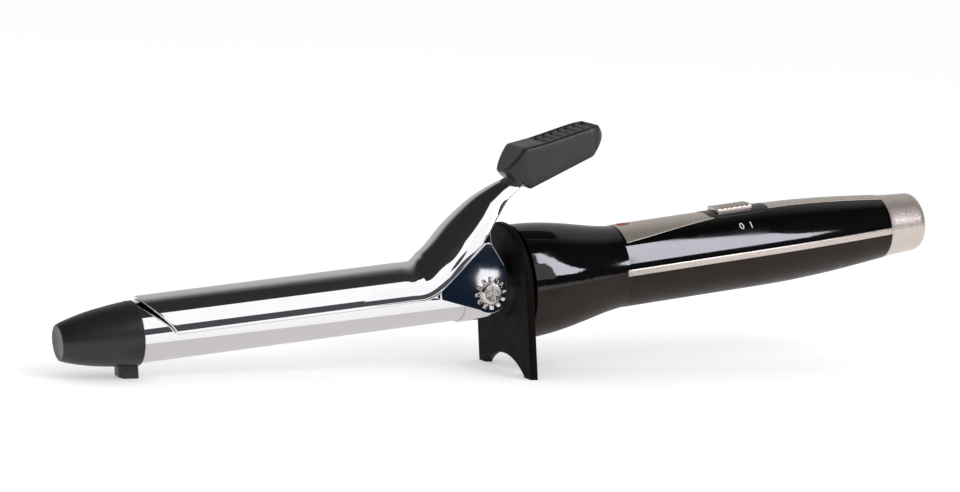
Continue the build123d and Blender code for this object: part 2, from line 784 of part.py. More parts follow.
def switch_body():
    """Slide switch on the circuit board, open on top for the knob's stem."""
    middle = switch_start + knob_middle
    floor = board_top + fit
    half = switch_body_length / 2
    reach = stem_length / 2 + 0.4
    body = block(middle - half, middle + half, -switch_body_width / 2, switch_body_width / 2,
                 floor, floor + switch_body_height)
    pocket = block(middle - reach - knob_travel, middle + reach, -switch_pocket_width / 2, switch_pocket_width / 2,
                   floor + switch_pocket_floor, floor + WIDE)
    return body - pocket


def board_half_width():
    """Half width of the board, from the hollow's radius at the board's top."""
    hollow = grip_radius - shell_wall
    return (hollow**2 - board_top**2) ** 0.5 - board_margin


def circuit_board():
    """Control board under the upper shell."""
    return block(board_start, board_start + board_length, -board_half_width(), board_half_width(),
                 board_height, board_top)


def lamp_lens():
    """Red window over the lamp, a little proud of the trim."""
    return (handle_form(-lens_proud) - handle_form(shell_wall + 0.2)) & lamp_prism()


def lamp():
    """Light source on the board under the window."""
    middle = lamp_start + lamp_length / 2
    crown = grip_radius - shell_wall - lamp_gap - lamp_radius
    return rod_z(lamp_radius, board_top + fit, crown, middle) + Pos(middle, 0, crown) * Sphere(lamp_radius)


def housing_screw(x):
    """Self-tapping screw from below through the lower boss into the upper one."""
    head_bottom = -screw_seat - screw_head_depth
    head = rod_z(housing_screw_head_radius, head_bottom, -screw_seat - fit, x)
    shank = rod_z(housing_screw_core_radius, -screw_seat - 0.2, screw_reach, x)
    span, width, depth = screw_recess
    recess = Pos(x, 0, head_bottom) * (Box(span, width, 2 * depth) + Box(width, span, 2 * depth))
    return head + shank - recess


# ---------------------------------------------------------------- cord end
def end_cap():
    """End cap with a rounded edge, a spigot into the shells and the swivel's bore."""
    corner_radius = rear_radius - cap_taper
    shoulder = cap_end - cap_crown - cap_corner_radius
    face = corner_radius - cap_corner_radius
    arc_middle = cap_corner_radius * sin(radians(45))
    outline = [
        Line((cap_joint, 0, rear_radius + 0.1), (shoulder, 0, corner_radius)),
        ThreePointArc((shoulder, 0, corner_radius), (shoulder + arc_middle, 0, face + arc_middle),
                      (shoulder + cap_corner_radius, 0, face)),
        ThreePointArc((shoulder + cap_corner_radius, 0, face), (cap_end - cap_crown / 4, 0, face / 2),
                      (cap_end, 0, 0)),
        Line((cap_end, 0, 0), (cap_joint, 0, 0)),
        Line((cap_joint, 0, 0), (cap_joint, 0, rear_radius + 0.1)),
    ]
    cap = turned(outline) + rod_x(cap_spigot_radius, cap_joint - cap_spigot_length, cap_joint + 1)
    cap -= rod_x(cap_bore, cap_joint - cap_spigot_length - 1, cap_wall_start)
    return cap - rod_x(swivel_radius + swivel_clearance, 0, FAR)


def cord_swivel():
    """Turning cord outlet: flange behind the cap's wall, stem and cord bore."""
    flange_end = cap_wall_start - swivel_flange_gap
    flange = rod_x(swivel_flange_radius, flange_end - swivel_flange_thickness, flange_end)
    stem = rod_x(swivel_radius, cap_wall_start - 1, cap_end)
    stub = rod_x(swivel_radius - ring_seat, cap_wall_start - swivel_stub_length, cap_wall_start - 1)
    return flange + stem + stub - rod_x(cord_bore_radius, 0, FAR)


def ring_starts():
    """Front end of each slip ring."""
    return [cap_wall_start - place for place in ring_places]


def slip_rings():
    """Two contact rings on the swivel's inner stub."""
    outer = swivel_radius + ring_height
    inner = swivel_radius - ring_seat + fit
    return [tube_x(outer, inner, start, start + ring_width) for start in ring_starts()]


def brush_contacts():
    """Two brushes that run on the slip rings, each on a leg from the cap's spigot."""
    shoe = swivel_radius + ring_height + brush_gap
    brushes = []
    for start in ring_starts():
        front = start + (ring_width - brush_length) / 2
        arm = block(front, front + brush_length, -brush_width / 2, brush_width / 2, shoe, shoe + brush_thickness)
        leg = block(front, front + brush_length, -brush_width / 2, brush_width / 2, shoe, WIDE)
        leg = leg & rod_x(cap_bore - fit, front - 1, front + brush_length + 1)
        leg -= block(front + brush_thickness, FAR, -WIDE, WIDE, shoe + brush_thickness, WIDE)
        brushes.append(arm + leg)
    return brushes


# ---------------------------------------------------------------- assembly
def build():
    """All nodes in the iron frame: name to a list of solids."""
    blade = clamp_blade()
    nodes = {
        "cool_tip": [cool_tip()],
        "tip_insulator": [tip_insulator()],
        "barrel_tube": [barrel_tube()],
        "heat_spreader_upper": [heat_spreader(1)],
        "heat_spreader_lower": [heat_spreader(-1)],
        "ptc_stones": ptc_stones(),
        "electrode_strips": electrode_strips(),
        "heater_sleeve": [heater_sleeve()],
        "thermal_fuse": [thermal_fuse()],
        "temperature_sensor": [temperature_sensor()],
        "heater_leads": heater_leads(),
        "hinge_bracket": [hinge_bracket()],
        "pivot_screws": mirrored_pair(pivot_screw()),
        "lock_washers": mirrored_pair(lock_washer()),
        "clamp_blade": [blade],
        "clamp_spring": [clamp_spring()],
        "thumb_rest": [thumb_rest(blade)],
        "stand_plate": [stand_plate()],
        "barrel_collar": [barrel_collar()],
    }
    in_handle_frame = {
        "handle_upper_shell": [handle_upper_shell()],
        "handle_lower_shell": [handle_lower_shell()],
        "side_trim_left": [side_trim(1)],
        "side_trim_right": [side_trim(-1)],
        "top_trim_front": [top_trim(False)],
        "top_trim_rear": [top_trim(True)],
        "lamp_lens": [lamp_lens()],
        "lamp": [lamp()],
        "switch_bezel": [switch_bezel()],
        "switch_knob": [switch_knob()],
        "switch_body": [switch_body()],
        "circuit_board": [circuit_board()],
        "housing_screws": [housing_screw(x) for x in housing_screw_places],
        "end_cap": [end_cap()],
        "cord_swivel": [cord_swivel()],
        "slip_rings": slip_rings(),
        "brush_contacts": brush_contacts(),
    }
    lift = Rot(0, -handle_lift, 0)
    for name, solids in in_handle_frame.items():
        nodes[name] = [lift * solid for solid in solids]
    return nodes


def set_down(nodes):
    """Tip the iron onto its feet and centre its footprint on the origin."""
    tipped = Pos(0, 0, pivot_height) * Rot(0, -rest_pitch, 0)
    placed = {}
    for name, solids in nodes.items():
        parts = []
        for solid in solids:
            parts.extend((tipped * solid).solids())
        placed[name] = parts
    boxes = [part.bounding_box() for parts in placed.values() for part in parts]
    middle = (min(b.min.X for b in boxes) + max(b.max.X for b in boxes)) / 2
    return {name: [Pos(-middle, 0, 0) * part for part in parts] for name, parts in placed.items()}, middle


def main():
    """Write one STEP file per node and print the places that the record needs."""
    os.makedirs("parts", exist_ok=True)
    placed, middle = set_down(build())
    for name, parts in placed.items():
        shape = parts[0] if len(parts) == 1 else Compound(children=parts)
        export_step(shape, f"parts/{name}.step")
    print(f"rest pitch {rest_pitch:.4f} deg, pivot at x {-middle:.4f} z {pivot_height:.4f}")


main()
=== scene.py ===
import json
from math import asin, cos, degrees, pi, radians, sin

import bmesh
import bpy
import numpy as np
from bpy.props import FloatProperty, FloatVectorProperty, IntProperty, PointerProperty
from bpy.types import Operator, Panel, PropertyGroup
from mathutils import Matrix, Vector


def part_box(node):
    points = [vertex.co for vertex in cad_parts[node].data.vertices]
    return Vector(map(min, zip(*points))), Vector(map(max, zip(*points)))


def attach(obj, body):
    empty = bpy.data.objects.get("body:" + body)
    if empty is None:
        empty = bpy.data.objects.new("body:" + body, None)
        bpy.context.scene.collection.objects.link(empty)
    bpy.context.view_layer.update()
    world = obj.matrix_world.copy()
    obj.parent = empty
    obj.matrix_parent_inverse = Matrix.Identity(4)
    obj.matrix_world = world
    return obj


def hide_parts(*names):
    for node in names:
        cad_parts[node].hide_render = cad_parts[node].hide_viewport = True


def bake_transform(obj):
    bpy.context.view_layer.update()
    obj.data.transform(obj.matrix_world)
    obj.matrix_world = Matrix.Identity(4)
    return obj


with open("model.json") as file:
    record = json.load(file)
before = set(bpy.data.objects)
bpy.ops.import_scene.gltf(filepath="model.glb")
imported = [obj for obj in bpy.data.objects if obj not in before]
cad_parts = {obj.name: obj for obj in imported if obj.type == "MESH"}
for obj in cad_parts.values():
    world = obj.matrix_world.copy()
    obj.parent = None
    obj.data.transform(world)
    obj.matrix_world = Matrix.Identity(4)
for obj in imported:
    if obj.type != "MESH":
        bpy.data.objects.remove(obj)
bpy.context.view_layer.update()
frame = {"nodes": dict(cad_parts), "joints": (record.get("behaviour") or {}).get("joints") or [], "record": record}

bl_info = {
    "name": "Curling Iron",
    "version": (1, 0, 0),
    "blender": (4, 5, 0),
    "location": "3D View > Sidebar > Iron",
    "description": "Builds the visible pieces of a spring-clamp curling iron round its CAD frame",
    "category": "Add Mesh",
}

MM = 0.001
WELD = 2e-6           # points nearer than this, in metres, are one point
ACROSS, UP = (0.0, 1.0, 0.0), (0.0, 0.0, 1.0)


# ---------------------------------------------------------------- the two drawing frames
# Pieces are drawn in millimetres from the clamp's pivot: x along the barrel or the handle
# towards the cord end, y to the left, z up and square to both.
def joint(name):
    """The record's joint of that name."""
    return next(j for j in frame["joints"] if j["name"] == name)


pivot = np.array(joint("clamp_pivot")["pos_m"], float)
handle_along = np.array(joint("cord_swivel_turn")["axis"], float)
barrel_middle = np.array((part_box("barrel_tube")[0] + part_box("barrel_tube")[1]) / 2, float)
barrel_along = (pivot - barrel_middle) / np.linalg.norm(pivot - barrel_middle)
IRON, HANDLE = (np.array([along, ACROSS, np.cross(along, ACROSS)]) for along in (barrel_along, handle_along))
pitch_turn = -asin(barrel_along[2])


def placed(points, axes):
    """World places of local points: the pivot plus each coordinate along its axis. Nothing goes under the table."""
    world = pivot + MM * (points @ axes)
    world[..., 2] = np.maximum(world[..., 2], 0.0)
    return world


def extents(node, axes):
    """Lowest and highest corner of a CAD node in a drawing frame, in millimetres."""
    mesh = frame["nodes"][node].data
    co = np.empty(len(mesh.vertices) * 3)
    mesh.vertices.foreach_get("co", co)
    local = (co.reshape(-1, 3) - pivot) @ axes.T / MM
    return local.min(0), local.max(0)


def skin_radius(node, axes, place, turn):
    """Distance from the axis to the outside of a CAD node, where a ray shot inwards at that turn meets it."""
    far = 60.0
    outwards = np.array([0.0, cos(turn), sin(turn)])
    start = Vector(placed(np.array([place, 0.0, 0.0]) + far * outwards, axes))
    met, where, _, _ = frame["nodes"][node].ray_cast(start, Vector(-(outwards @ axes)))
    if not met:
        raise RuntimeError(f"no skin of {node} at {place} mm")
    return far - (start - where).length / MM


def body_of(node):
    """Body that a CAD node rides on."""
    bodies = frame["record"]["behaviour"]["bodies"]
    return next(body for body, nodes in bodies.items() if node in nodes)


tip_low, tip_high = extents("cool_tip", IRON)
barrel_low, barrel_high = extents("barrel_tube", IRON)
blade_low, blade_high = extents("clamp_blade", IRON)
stand_low, stand_high = extents("stand_plate", IRON)
screw_high = extents("pivot_screws", IRON)[1]
washer_high = extents("lock_washers", IRON)[1]
spring_low, spring_high = extents("clamp_spring", IRON)
cap_low, cap_high = extents("end_cap", HANDLE)
knob_low, knob_high = extents("switch_knob", HANDLE)
bezel_low, bezel_high = extents("switch_bezel", HANDLE)
lens_low, lens_high = extents("lamp_lens", HANDLE)
strip_low, strip_high = extents("side_trim_left", HANDLE)

barrel_radius = barrel_high[1]
tip_rim = tip_high[1]
blade_outer = blade_high[1]


# ---------------------------------------------------------------- sizes and finishes a user may change
def length(name, description, value, low, high):
    """Length property with that default and range, in millimetres."""
    return FloatProperty(name=name, description=description, unit="LENGTH",
                         default=value * MM, min=low * MM, max=high * MM)


class IronSizes(PropertyGroup):
    """Shape details of the pieces."""
    sheet: length("Clamp sheet", "Thickness of the clamp's steel sheet", 1.0, 0.4, 2.0)
    edge: length("Moulded edge", "Rounding of the plastic pieces' edges", 0.7, 0.1, 1.2)
    dish_depth: length("Thumb dish", "Depth of the dish in the thumb rest", 1.1, 0.2, 2.0)
    dish_ribs: IntProperty(
        name="Thumb ribs", description="Ribs across the thumb rest's dish", default=6, min=2, max=12)
    knob_ribs: IntProperty(
        name="Knob grooves", description="Grooves across the slide knob", default=6, min=2, max=10)
    mark_height: length("Mark height", "Height of the 0 and I beside the switch", 2.4, 1.0, 5.0)


def colour(name, description, value):
    """Colour property with that default."""
    return FloatVectorProperty(name=name, description=description, subtype="COLOR", size=3,
                               default=value, min=0.0, max=1.0)


class IronFinishes(PropertyGroup):
    """Colours of the outer finishes."""
    chrome: colour("Chrome", "Polished plate of barrel and clamp", (0.86, 0.85, 0.86))
    heatproof: colour("Heat-proof black", "Stand, collar and switch body", (0.0062, 0.0052, 0.0048))
    tip: colour("Tip black", "Heat-proof tip, thumb rest and cord outlet", (0.017, 0.014, 0.0145))
    gloss: colour("Gloss black", "Upper shell and switch frame", (0.0010, 0.0010, 0.0012))
    smoke: colour("Smoke", "Lower shell", (0.024, 0.0165, 0.0125))
    champagne: colour("Champagne", "Trims, knob and end cap", (0.60, 0.53, 0.48))
    lamp: colour("Lamp", "Window over the lamp", (0.30, 0.055, 0.045))
    steel: colour("Plated steel", "Screws, washers and spring", (0.74, 0.70, 0.66))
    print_white: colour("Print", "Marks beside the switch", (0.82, 0.82, 0.80))


class IronStage(PropertyGroup):
    """Floor, lights and camera."""
    floor_colour: colour("Floor", "Plain pale floor", (0.92, 0.92, 0.92))
    plain_level: FloatProperty(
        name="Plain level", description="Even light on the object", default=0.70, min=0.0, max=2.0)
    key_power: FloatProperty(
        name="Key light", description="Power of the soft light in front and above",
        default=4.0, min=0.0, max=60.0, unit="POWER")
    azimuth: FloatProperty(
        name="Azimuth", description="Camera's turn to the right of straight along the depth",
        default=radians(25.14), subtype="ANGLE")
    elevation: FloatProperty(
        name="Elevation", description="How far the camera looks down", default=radians(9.85), subtype="ANGLE")
    distance: FloatProperty(
        name="Distance", description="Camera to the clamp's pivot", default=1.3, min=0.3, max=5.0, unit="LENGTH")


# ---------------------------------------------------------------- surfaces
def grid(points, close_rows=False, close_columns=True):
    """Vertices and quads of a grid of points.

    Each quad joins a point to the next ones in its row and its column; a closed way wraps to the first."""
    rows, columns = points.shape[:2]
    index = np.arange(rows * columns).reshape(rows, columns)
    if close_rows:
        index = np.vstack([index, index[:1]])
    if close_columns:
        index = np.hstack([index, index[:, :1]])
    quads = np.stack([index[:-1, :-1], index[:-1, 1:], index[1:, 1:], index[1:, :-1]], axis=-1)
    return points.reshape(-1, 3), quads.reshape(-1, 4)


def joined(*surfaces):
    """Several surfaces as one: their points in a row, each one's quads moved on by the points before it."""
    counts = np.cumsum([0] + [len(points) for points, _ in surfaces[:-1]])
    quads = [faces + start for (_, faces), start in zip(surfaces, counts)]
    return np.concatenate([points for points, _ in surfaces]), np.concatenate(quads)


def mirrored(surface):
    """A surface's mirror image across y = 0."""
    points, quads = surface
    return points * [1.0, -1.0, 1.0], quads


def both_sides(surface):
    """A surface and its mirror image."""
    return joined(surface, mirrored(surface))


def in_middle(x, z):
    """Points of the plane y = 0."""
    return np.stack(np.broadcast_arrays(x, 0.0, z), -1)


def closed_ends(points):
    """Grid with a pole at the middle of its first row and of its last, which closes both ends."""
    poles = [np.broadcast_to(row.mean(0), row.shape)[None] for row in (points[0], points[-1])]
    return np.concatenate([poles[0], points, poles[1]])


def through(knots, values, places):
    """Smooth curve through knots: a cubic on each span that keeps the neighbours' slope at both ends."""
    knots, values, places = (np.asarray(a, float) for a in (knots, values, places))
    slopes = np.gradient(values, knots, axis=0)
    span = np.clip(np.searchsorted(knots, places, side="right") - 1, 0, len(knots) - 2)
    width = knots[span + 1] - knots[span]
    t = (places - knots[span]) / width
    if values.ndim > 1:
        t, width = t[:, None], width[:, None]
    rise = t * t * (3 - 2 * t)
    start_slope = t * (1 - t) ** 2 * width
    end_slope = -t * t * (1 - t) * width
    return (values[span] * (1 - rise) + values[span + 1] * rise
            + slopes[span] * start_slope + slopes[span + 1] * end_slope)


def step(value, edge, soft):
    """Smooth step from 0 to 1 across an edge, soft wide."""
    t = np.clip((value - edge) / soft + 0.5, 0.0, 1.0)
    return t * t * (3 - 2 * t)


def softened(values, reach):
    """Values along a row with their corners rounded: each becomes the mean of those within reach of it."""
    kernel = np.ones(2 * reach + 1) / (2 * reach + 1)
    return np.convolve(np.pad(values, reach, mode="edge"), kernel, mode="valid")


def rounded_ring(corner_steps=5, wide_steps=3, tall_steps=3):
    """Rounded-rectangle outline as corner centres in units of the half sizes, and outward directions.

    Round a corner the centre stays and the direction turns; along a side the direction stays and the centre moves."""
    corners = np.array([(1, 1), (-1, 1), (-1, -1), (1, -1)], float)
    centres, directions = [], []
    for k, corner in enumerate(corners):
        turn = (k + np.linspace(0, 1, corner_steps + 1)) * pi / 2
        centres.append(np.repeat(corner[None], corner_steps + 1, 0))
        directions.append(np.stack([np.cos(turn), np.sin(turn)], -1))
        steps = (wide_steps, tall_steps)[k % 2]
        way = (np.arange(1, steps) / steps)[:, None]
        centres.append(corner + way * (corners[(k + 1) % 4] - corner))
        directions.append(np.repeat(directions[-1][-1:], steps - 1, 0))
    return np.concatenate(centres), np.concatenate(directions)


def bar(middles, wide, tall, half_wide, half_tall, edge, ring):
    """Rounded-rectangle section carried along a path.

    Point = middle + wide times (corner centre x (half width - edge) + direction x edge), and the same for tall."""
    centres, directions = ring
    spread = [np.asarray(a, float).reshape(-1, 1) * np.ones((len(middles), 1)) for a in (half_wide, half_tall, edge)]
    round_edge = np.minimum(spread[2], np.minimum(spread[0], spread[1]))
    u = centres[:, 0] * (spread[0] - round_edge) + directions[:, 0] * round_edge
    v = centres[:, 1] * (spread[1] - round_edge) + directions[:, 1] * round_edge
    wide, tall = (np.broadcast_to(a, middles.shape)[:, None] for a in (wide, tall))
    return middles[:, None] + u[..., None] * wide + v[..., None] * tall


def rounded_run(start, end, edge, middle_steps, edge_steps=5):
    """Stations from start to end and how far each is drawn in, so that both ends are quarter rounds."""
    turn = np.linspace(0, pi / 2, edge_steps + 1)
    into, inset = edge * (1 - np.cos(turn)), edge * (1 - np.sin(turn))
    middle = np.linspace(start + edge, end - edge, middle_steps + 1)[1:-1]
    places = np.concatenate([start + into, middle, (end - into)[::-1]])
    insets = np.concatenate([inset, np.zeros(len(middle)), inset[::-1]])
    return places, insets


def box_bar(low, high, edge, steps=2):
    """Box along x between two corners, rounded all round: a section drawn in at both ends."""
    places, insets = rounded_run(low[0], high[0], edge, steps)
    middle = (np.asarray(low) + np.asarray(high)) / 2
    half = (np.asarray(high) - np.asarray(low)) / 2
    middles = np.stack(np.broadcast_arrays(places, *middle[1:]), -1)
    points = bar(middles, ACROSS, UP, half[1] - insets, half[2] - insets, edge,
                 rounded_ring(5, steps + 1, steps + 1))
    return grid(closed_ends(points))


def turned(places, radii, columns=96):
    """Surface of revolution about x: each radius goes round the axis at its place."""
    turn = np.linspace(0, 2 * pi, columns, endpoint=False)
    round_ring = np.stack([np.zeros(columns), np.cos(turn), np.sin(turn)], -1)
    return in_middle(places, 0.0)[:, None] + np.asarray(radii)[:, None, None] * round_ring


def arc(middle, radius, start, end, steps):
    """Points of an arc in a plane, angles in degrees."""
    turn = np.radians(np.linspace(start, end, steps + 1))
    return np.asarray(middle) + radius * np.stack([np.cos(turn), np.sin(turn)], -1)


def run(start, end, steps):
    """Points of a straight line in a plane, without its last."""
    way = (np.arange(steps) / steps)[:, None]
    return np.asarray(start) + way * (np.asarray(end) - np.asarray(start))


def legs(corners, *steps):
    """Points of straight lines from corner to corner, without the last corner."""
    return np.concatenate([run(*leg) for leg in zip(corners, corners[1:], steps)])


def plate(outline, hole, low, high, edge, face_steps=6, edge_steps=6):
    """Flat plate with a round hole at the origin and rounded outer edges, as (u, v, height).

    Every outline point has a ray from the hole's middle: a profile runs along it from the hole over the low
    face, round the edge in a half circle or two quarters, and back over the high face. A last ring of points
    close to the edge keeps each face's shading flat."""
    reach = np.linalg.norm(outline, axis=1)
    outwards = outline / reach[:, None]
    share = np.append(np.linspace(0, 1, face_steps + 1)[:-1], 0.988)
    turn = np.linspace(0, pi / 2, edge_steps + 1)
    out = edge * (np.sin(turn) - 1)
    up = edge * (1 - np.cos(turn))
    shares = np.concatenate([share, np.ones(2 * len(turn)), share[::-1]])
    offsets = np.concatenate([np.zeros_like(share), out, out[::-1], np.zeros_like(share)])
    heights = np.concatenate([np.full_like(share, low), low + up, (high - up)[::-1], np.full_like(share, high)])
    inner_end = reach - edge
    radius = hole + shares[:, None] * (inner_end - hole) + np.where(shares[:, None] == 1, edge + offsets[:, None], 0)
    flat = radius[..., None] * outwards
    return np.concatenate([flat, np.broadcast_to(heights[:, None, None], radius.shape + (1,))], -1)


def add_object(name, data):
    """New object of that data in the scene."""
    piece = bpy.data.objects.new(name, data)
    bpy.context.scene.collection.objects.link(piece)
    return piece


def make_piece(name, surface, axes, finish, nodes, instead=True, crease=38.0, bends=None):
    """Object of a surface: welded, its faces turned outwards, smooth but for creases.

    It rides with its CAD node's body; given bends, it stays where it is drawn, and the bodies and places in bends are
    not used."""
    points, quads = surface
    mesh = bpy.data.meshes.new(name)
    mesh.from_pydata(placed(points, axes).tolist(), [], quads.tolist())
    shell = bmesh.new()
    shell.from_mesh(mesh)
    bmesh.ops.remove_doubles(shell, verts=shell.verts, dist=WELD)
    bmesh.ops.dissolve_degenerate(shell, edges=shell.edges, dist=WELD)
    bmesh.ops.recalc_face_normals(shell, faces=shell.faces)
    shell.to_mesh(mesh)
    shell.free()
    mesh.shade_smooth()
    mesh.set_sharp_from_angle(angle=radians(crease))
    mesh.materials.append(finish)
    piece = add_object(name, mesh)
    if bends:
        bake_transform(piece)
    else:
        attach(piece, body_of(nodes[0]))
    if instead:
        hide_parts(*nodes)
    return piece


def dress(finish, *nodes):
    """Give CAD nodes a finish."""
    for node in nodes:
        mesh = frame["nodes"][node].data
        mesh.materials.clear()
        mesh.materials.append(finish)


# ---------------------------------------------------------------- finishes
def add_node(nodes, kind, **values):
    """Shader node of a kind, with values set on the inputs of those names."""
    node = nodes.new(f"ShaderNode{kind}")
    set_inputs(node, values)
    return node


def set_inputs(node, values):
    """Set a node's inputs by name, underscores for spaces."""
    for name, value in values.items():
        node.inputs[name.replace("_", " ")].default_value = value


def noise(size, detail=2.0, stretch=None, turn=0.0):
    """Blotches about size millimetres across; they can be drawn out along one way and turned about y."""
    return {"kind": "TexNoise", "output": "Fac", "size": size, "stretch": stretch, "turn": turn, "Detail": detail}


def cells(size):
    """A random value for each flake about size millimetres across."""
    return {"kind": "TexVoronoi", "output": "Color", "size": size}


class Finish:
    """A Principled material under construction; its patterns read Object coordinates."""

    def __init__(self, name, color, **sockets):
        self.material = bpy.data.materials.new(name)
        self.material.use_nodes = True
        self.nodes, self.links = self.material.node_tree.nodes, self.material.node_tree.links
        self.shader = self.nodes["Principled BSDF"]
        self.color = tuple(color)
        set_inputs(self.shader, {"Base Color": (*self.color, 1.0), **sockets})
        self.place = add_node(self.nodes, "TexCoord").outputs["Object"]

    def pattern(self, kind, output, size, stretch=None, turn=0.0, **values):
        """Output of a texture whose marks are about size millimetres across."""
        place = self.place
        if stretch:
            mapping = add_node(self.nodes, "Mapping", Scale=stretch, Rotation=(0.0, turn, 0.0))
            mapping.vector_type = "TEXTURE"
            self.links.new(place, mapping.inputs["Vector"])
            place = mapping.outputs["Vector"]
        texture = add_node(self.nodes, kind, Scale=1.0 / (size * MM), **values)
        self.links.new(place, texture.inputs["Vector"])
        if output != "Color":
            return texture.outputs[output]
        split = add_node(self.nodes, "SeparateColor")
        self.links.new(texture.outputs["Color"], split.inputs["Color"])
        return split.outputs["Red"]

    def spread(self, pattern, low, high, start=0.3, end=0.7):
        """A pattern's values mapped from start to end onto low to high."""
        node = add_node(self.nodes, "MapRange", From_Min=start, From_Max=end, To_Min=low, To_Max=high)
        self.links.new(self.pattern(**pattern), node.inputs["Value"])
        return node.outputs["Result"]

    def gloss(self, pattern, low, high):
        """Roughness that wanders between two values."""
        self.links.new(self.spread(pattern, low, high), self.shader.inputs["Roughness"])

    def shade(self, pattern, dark, light, start=0.3, end=0.7):
        """Base colour that wanders between a darker and a lighter shade of itself."""
        mix = self.nodes.new("ShaderNodeMix")
        mix.data_type = "RGBA"
        shades = [(*(min(1.0, c * share) for c in self.color), 1.0) for share in (dark, light)]
        mix.inputs["A"].default_value, mix.inputs["B"].default_value = shades
        self.links.new(self.spread(pattern, 0.0, 1.0, start, end), mix.inputs["Factor"])
        self.links.new(mix.outputs["Result"], self.shader.inputs["Base Color"])

    def relief(self, pattern, depth, strength):
        """Bump whose full height is depth metres."""
        bump = add_node(self.nodes, "Bump", Strength=strength, Distance=depth)
        self.links.new(self.pattern(**pattern), bump.inputs["Height"])
        self.links.new(bump.outputs["Normal"], self.shader.inputs["Normal"])


rolled = noise(0.25, 3, (1, 12, 1))
die_lines = noise(0.3, 3, (60, 1, 1), pitch_turn)
windings = noise(2, 3, (1, 8, 8), pitch_turn)
flakes = cells(0.16)

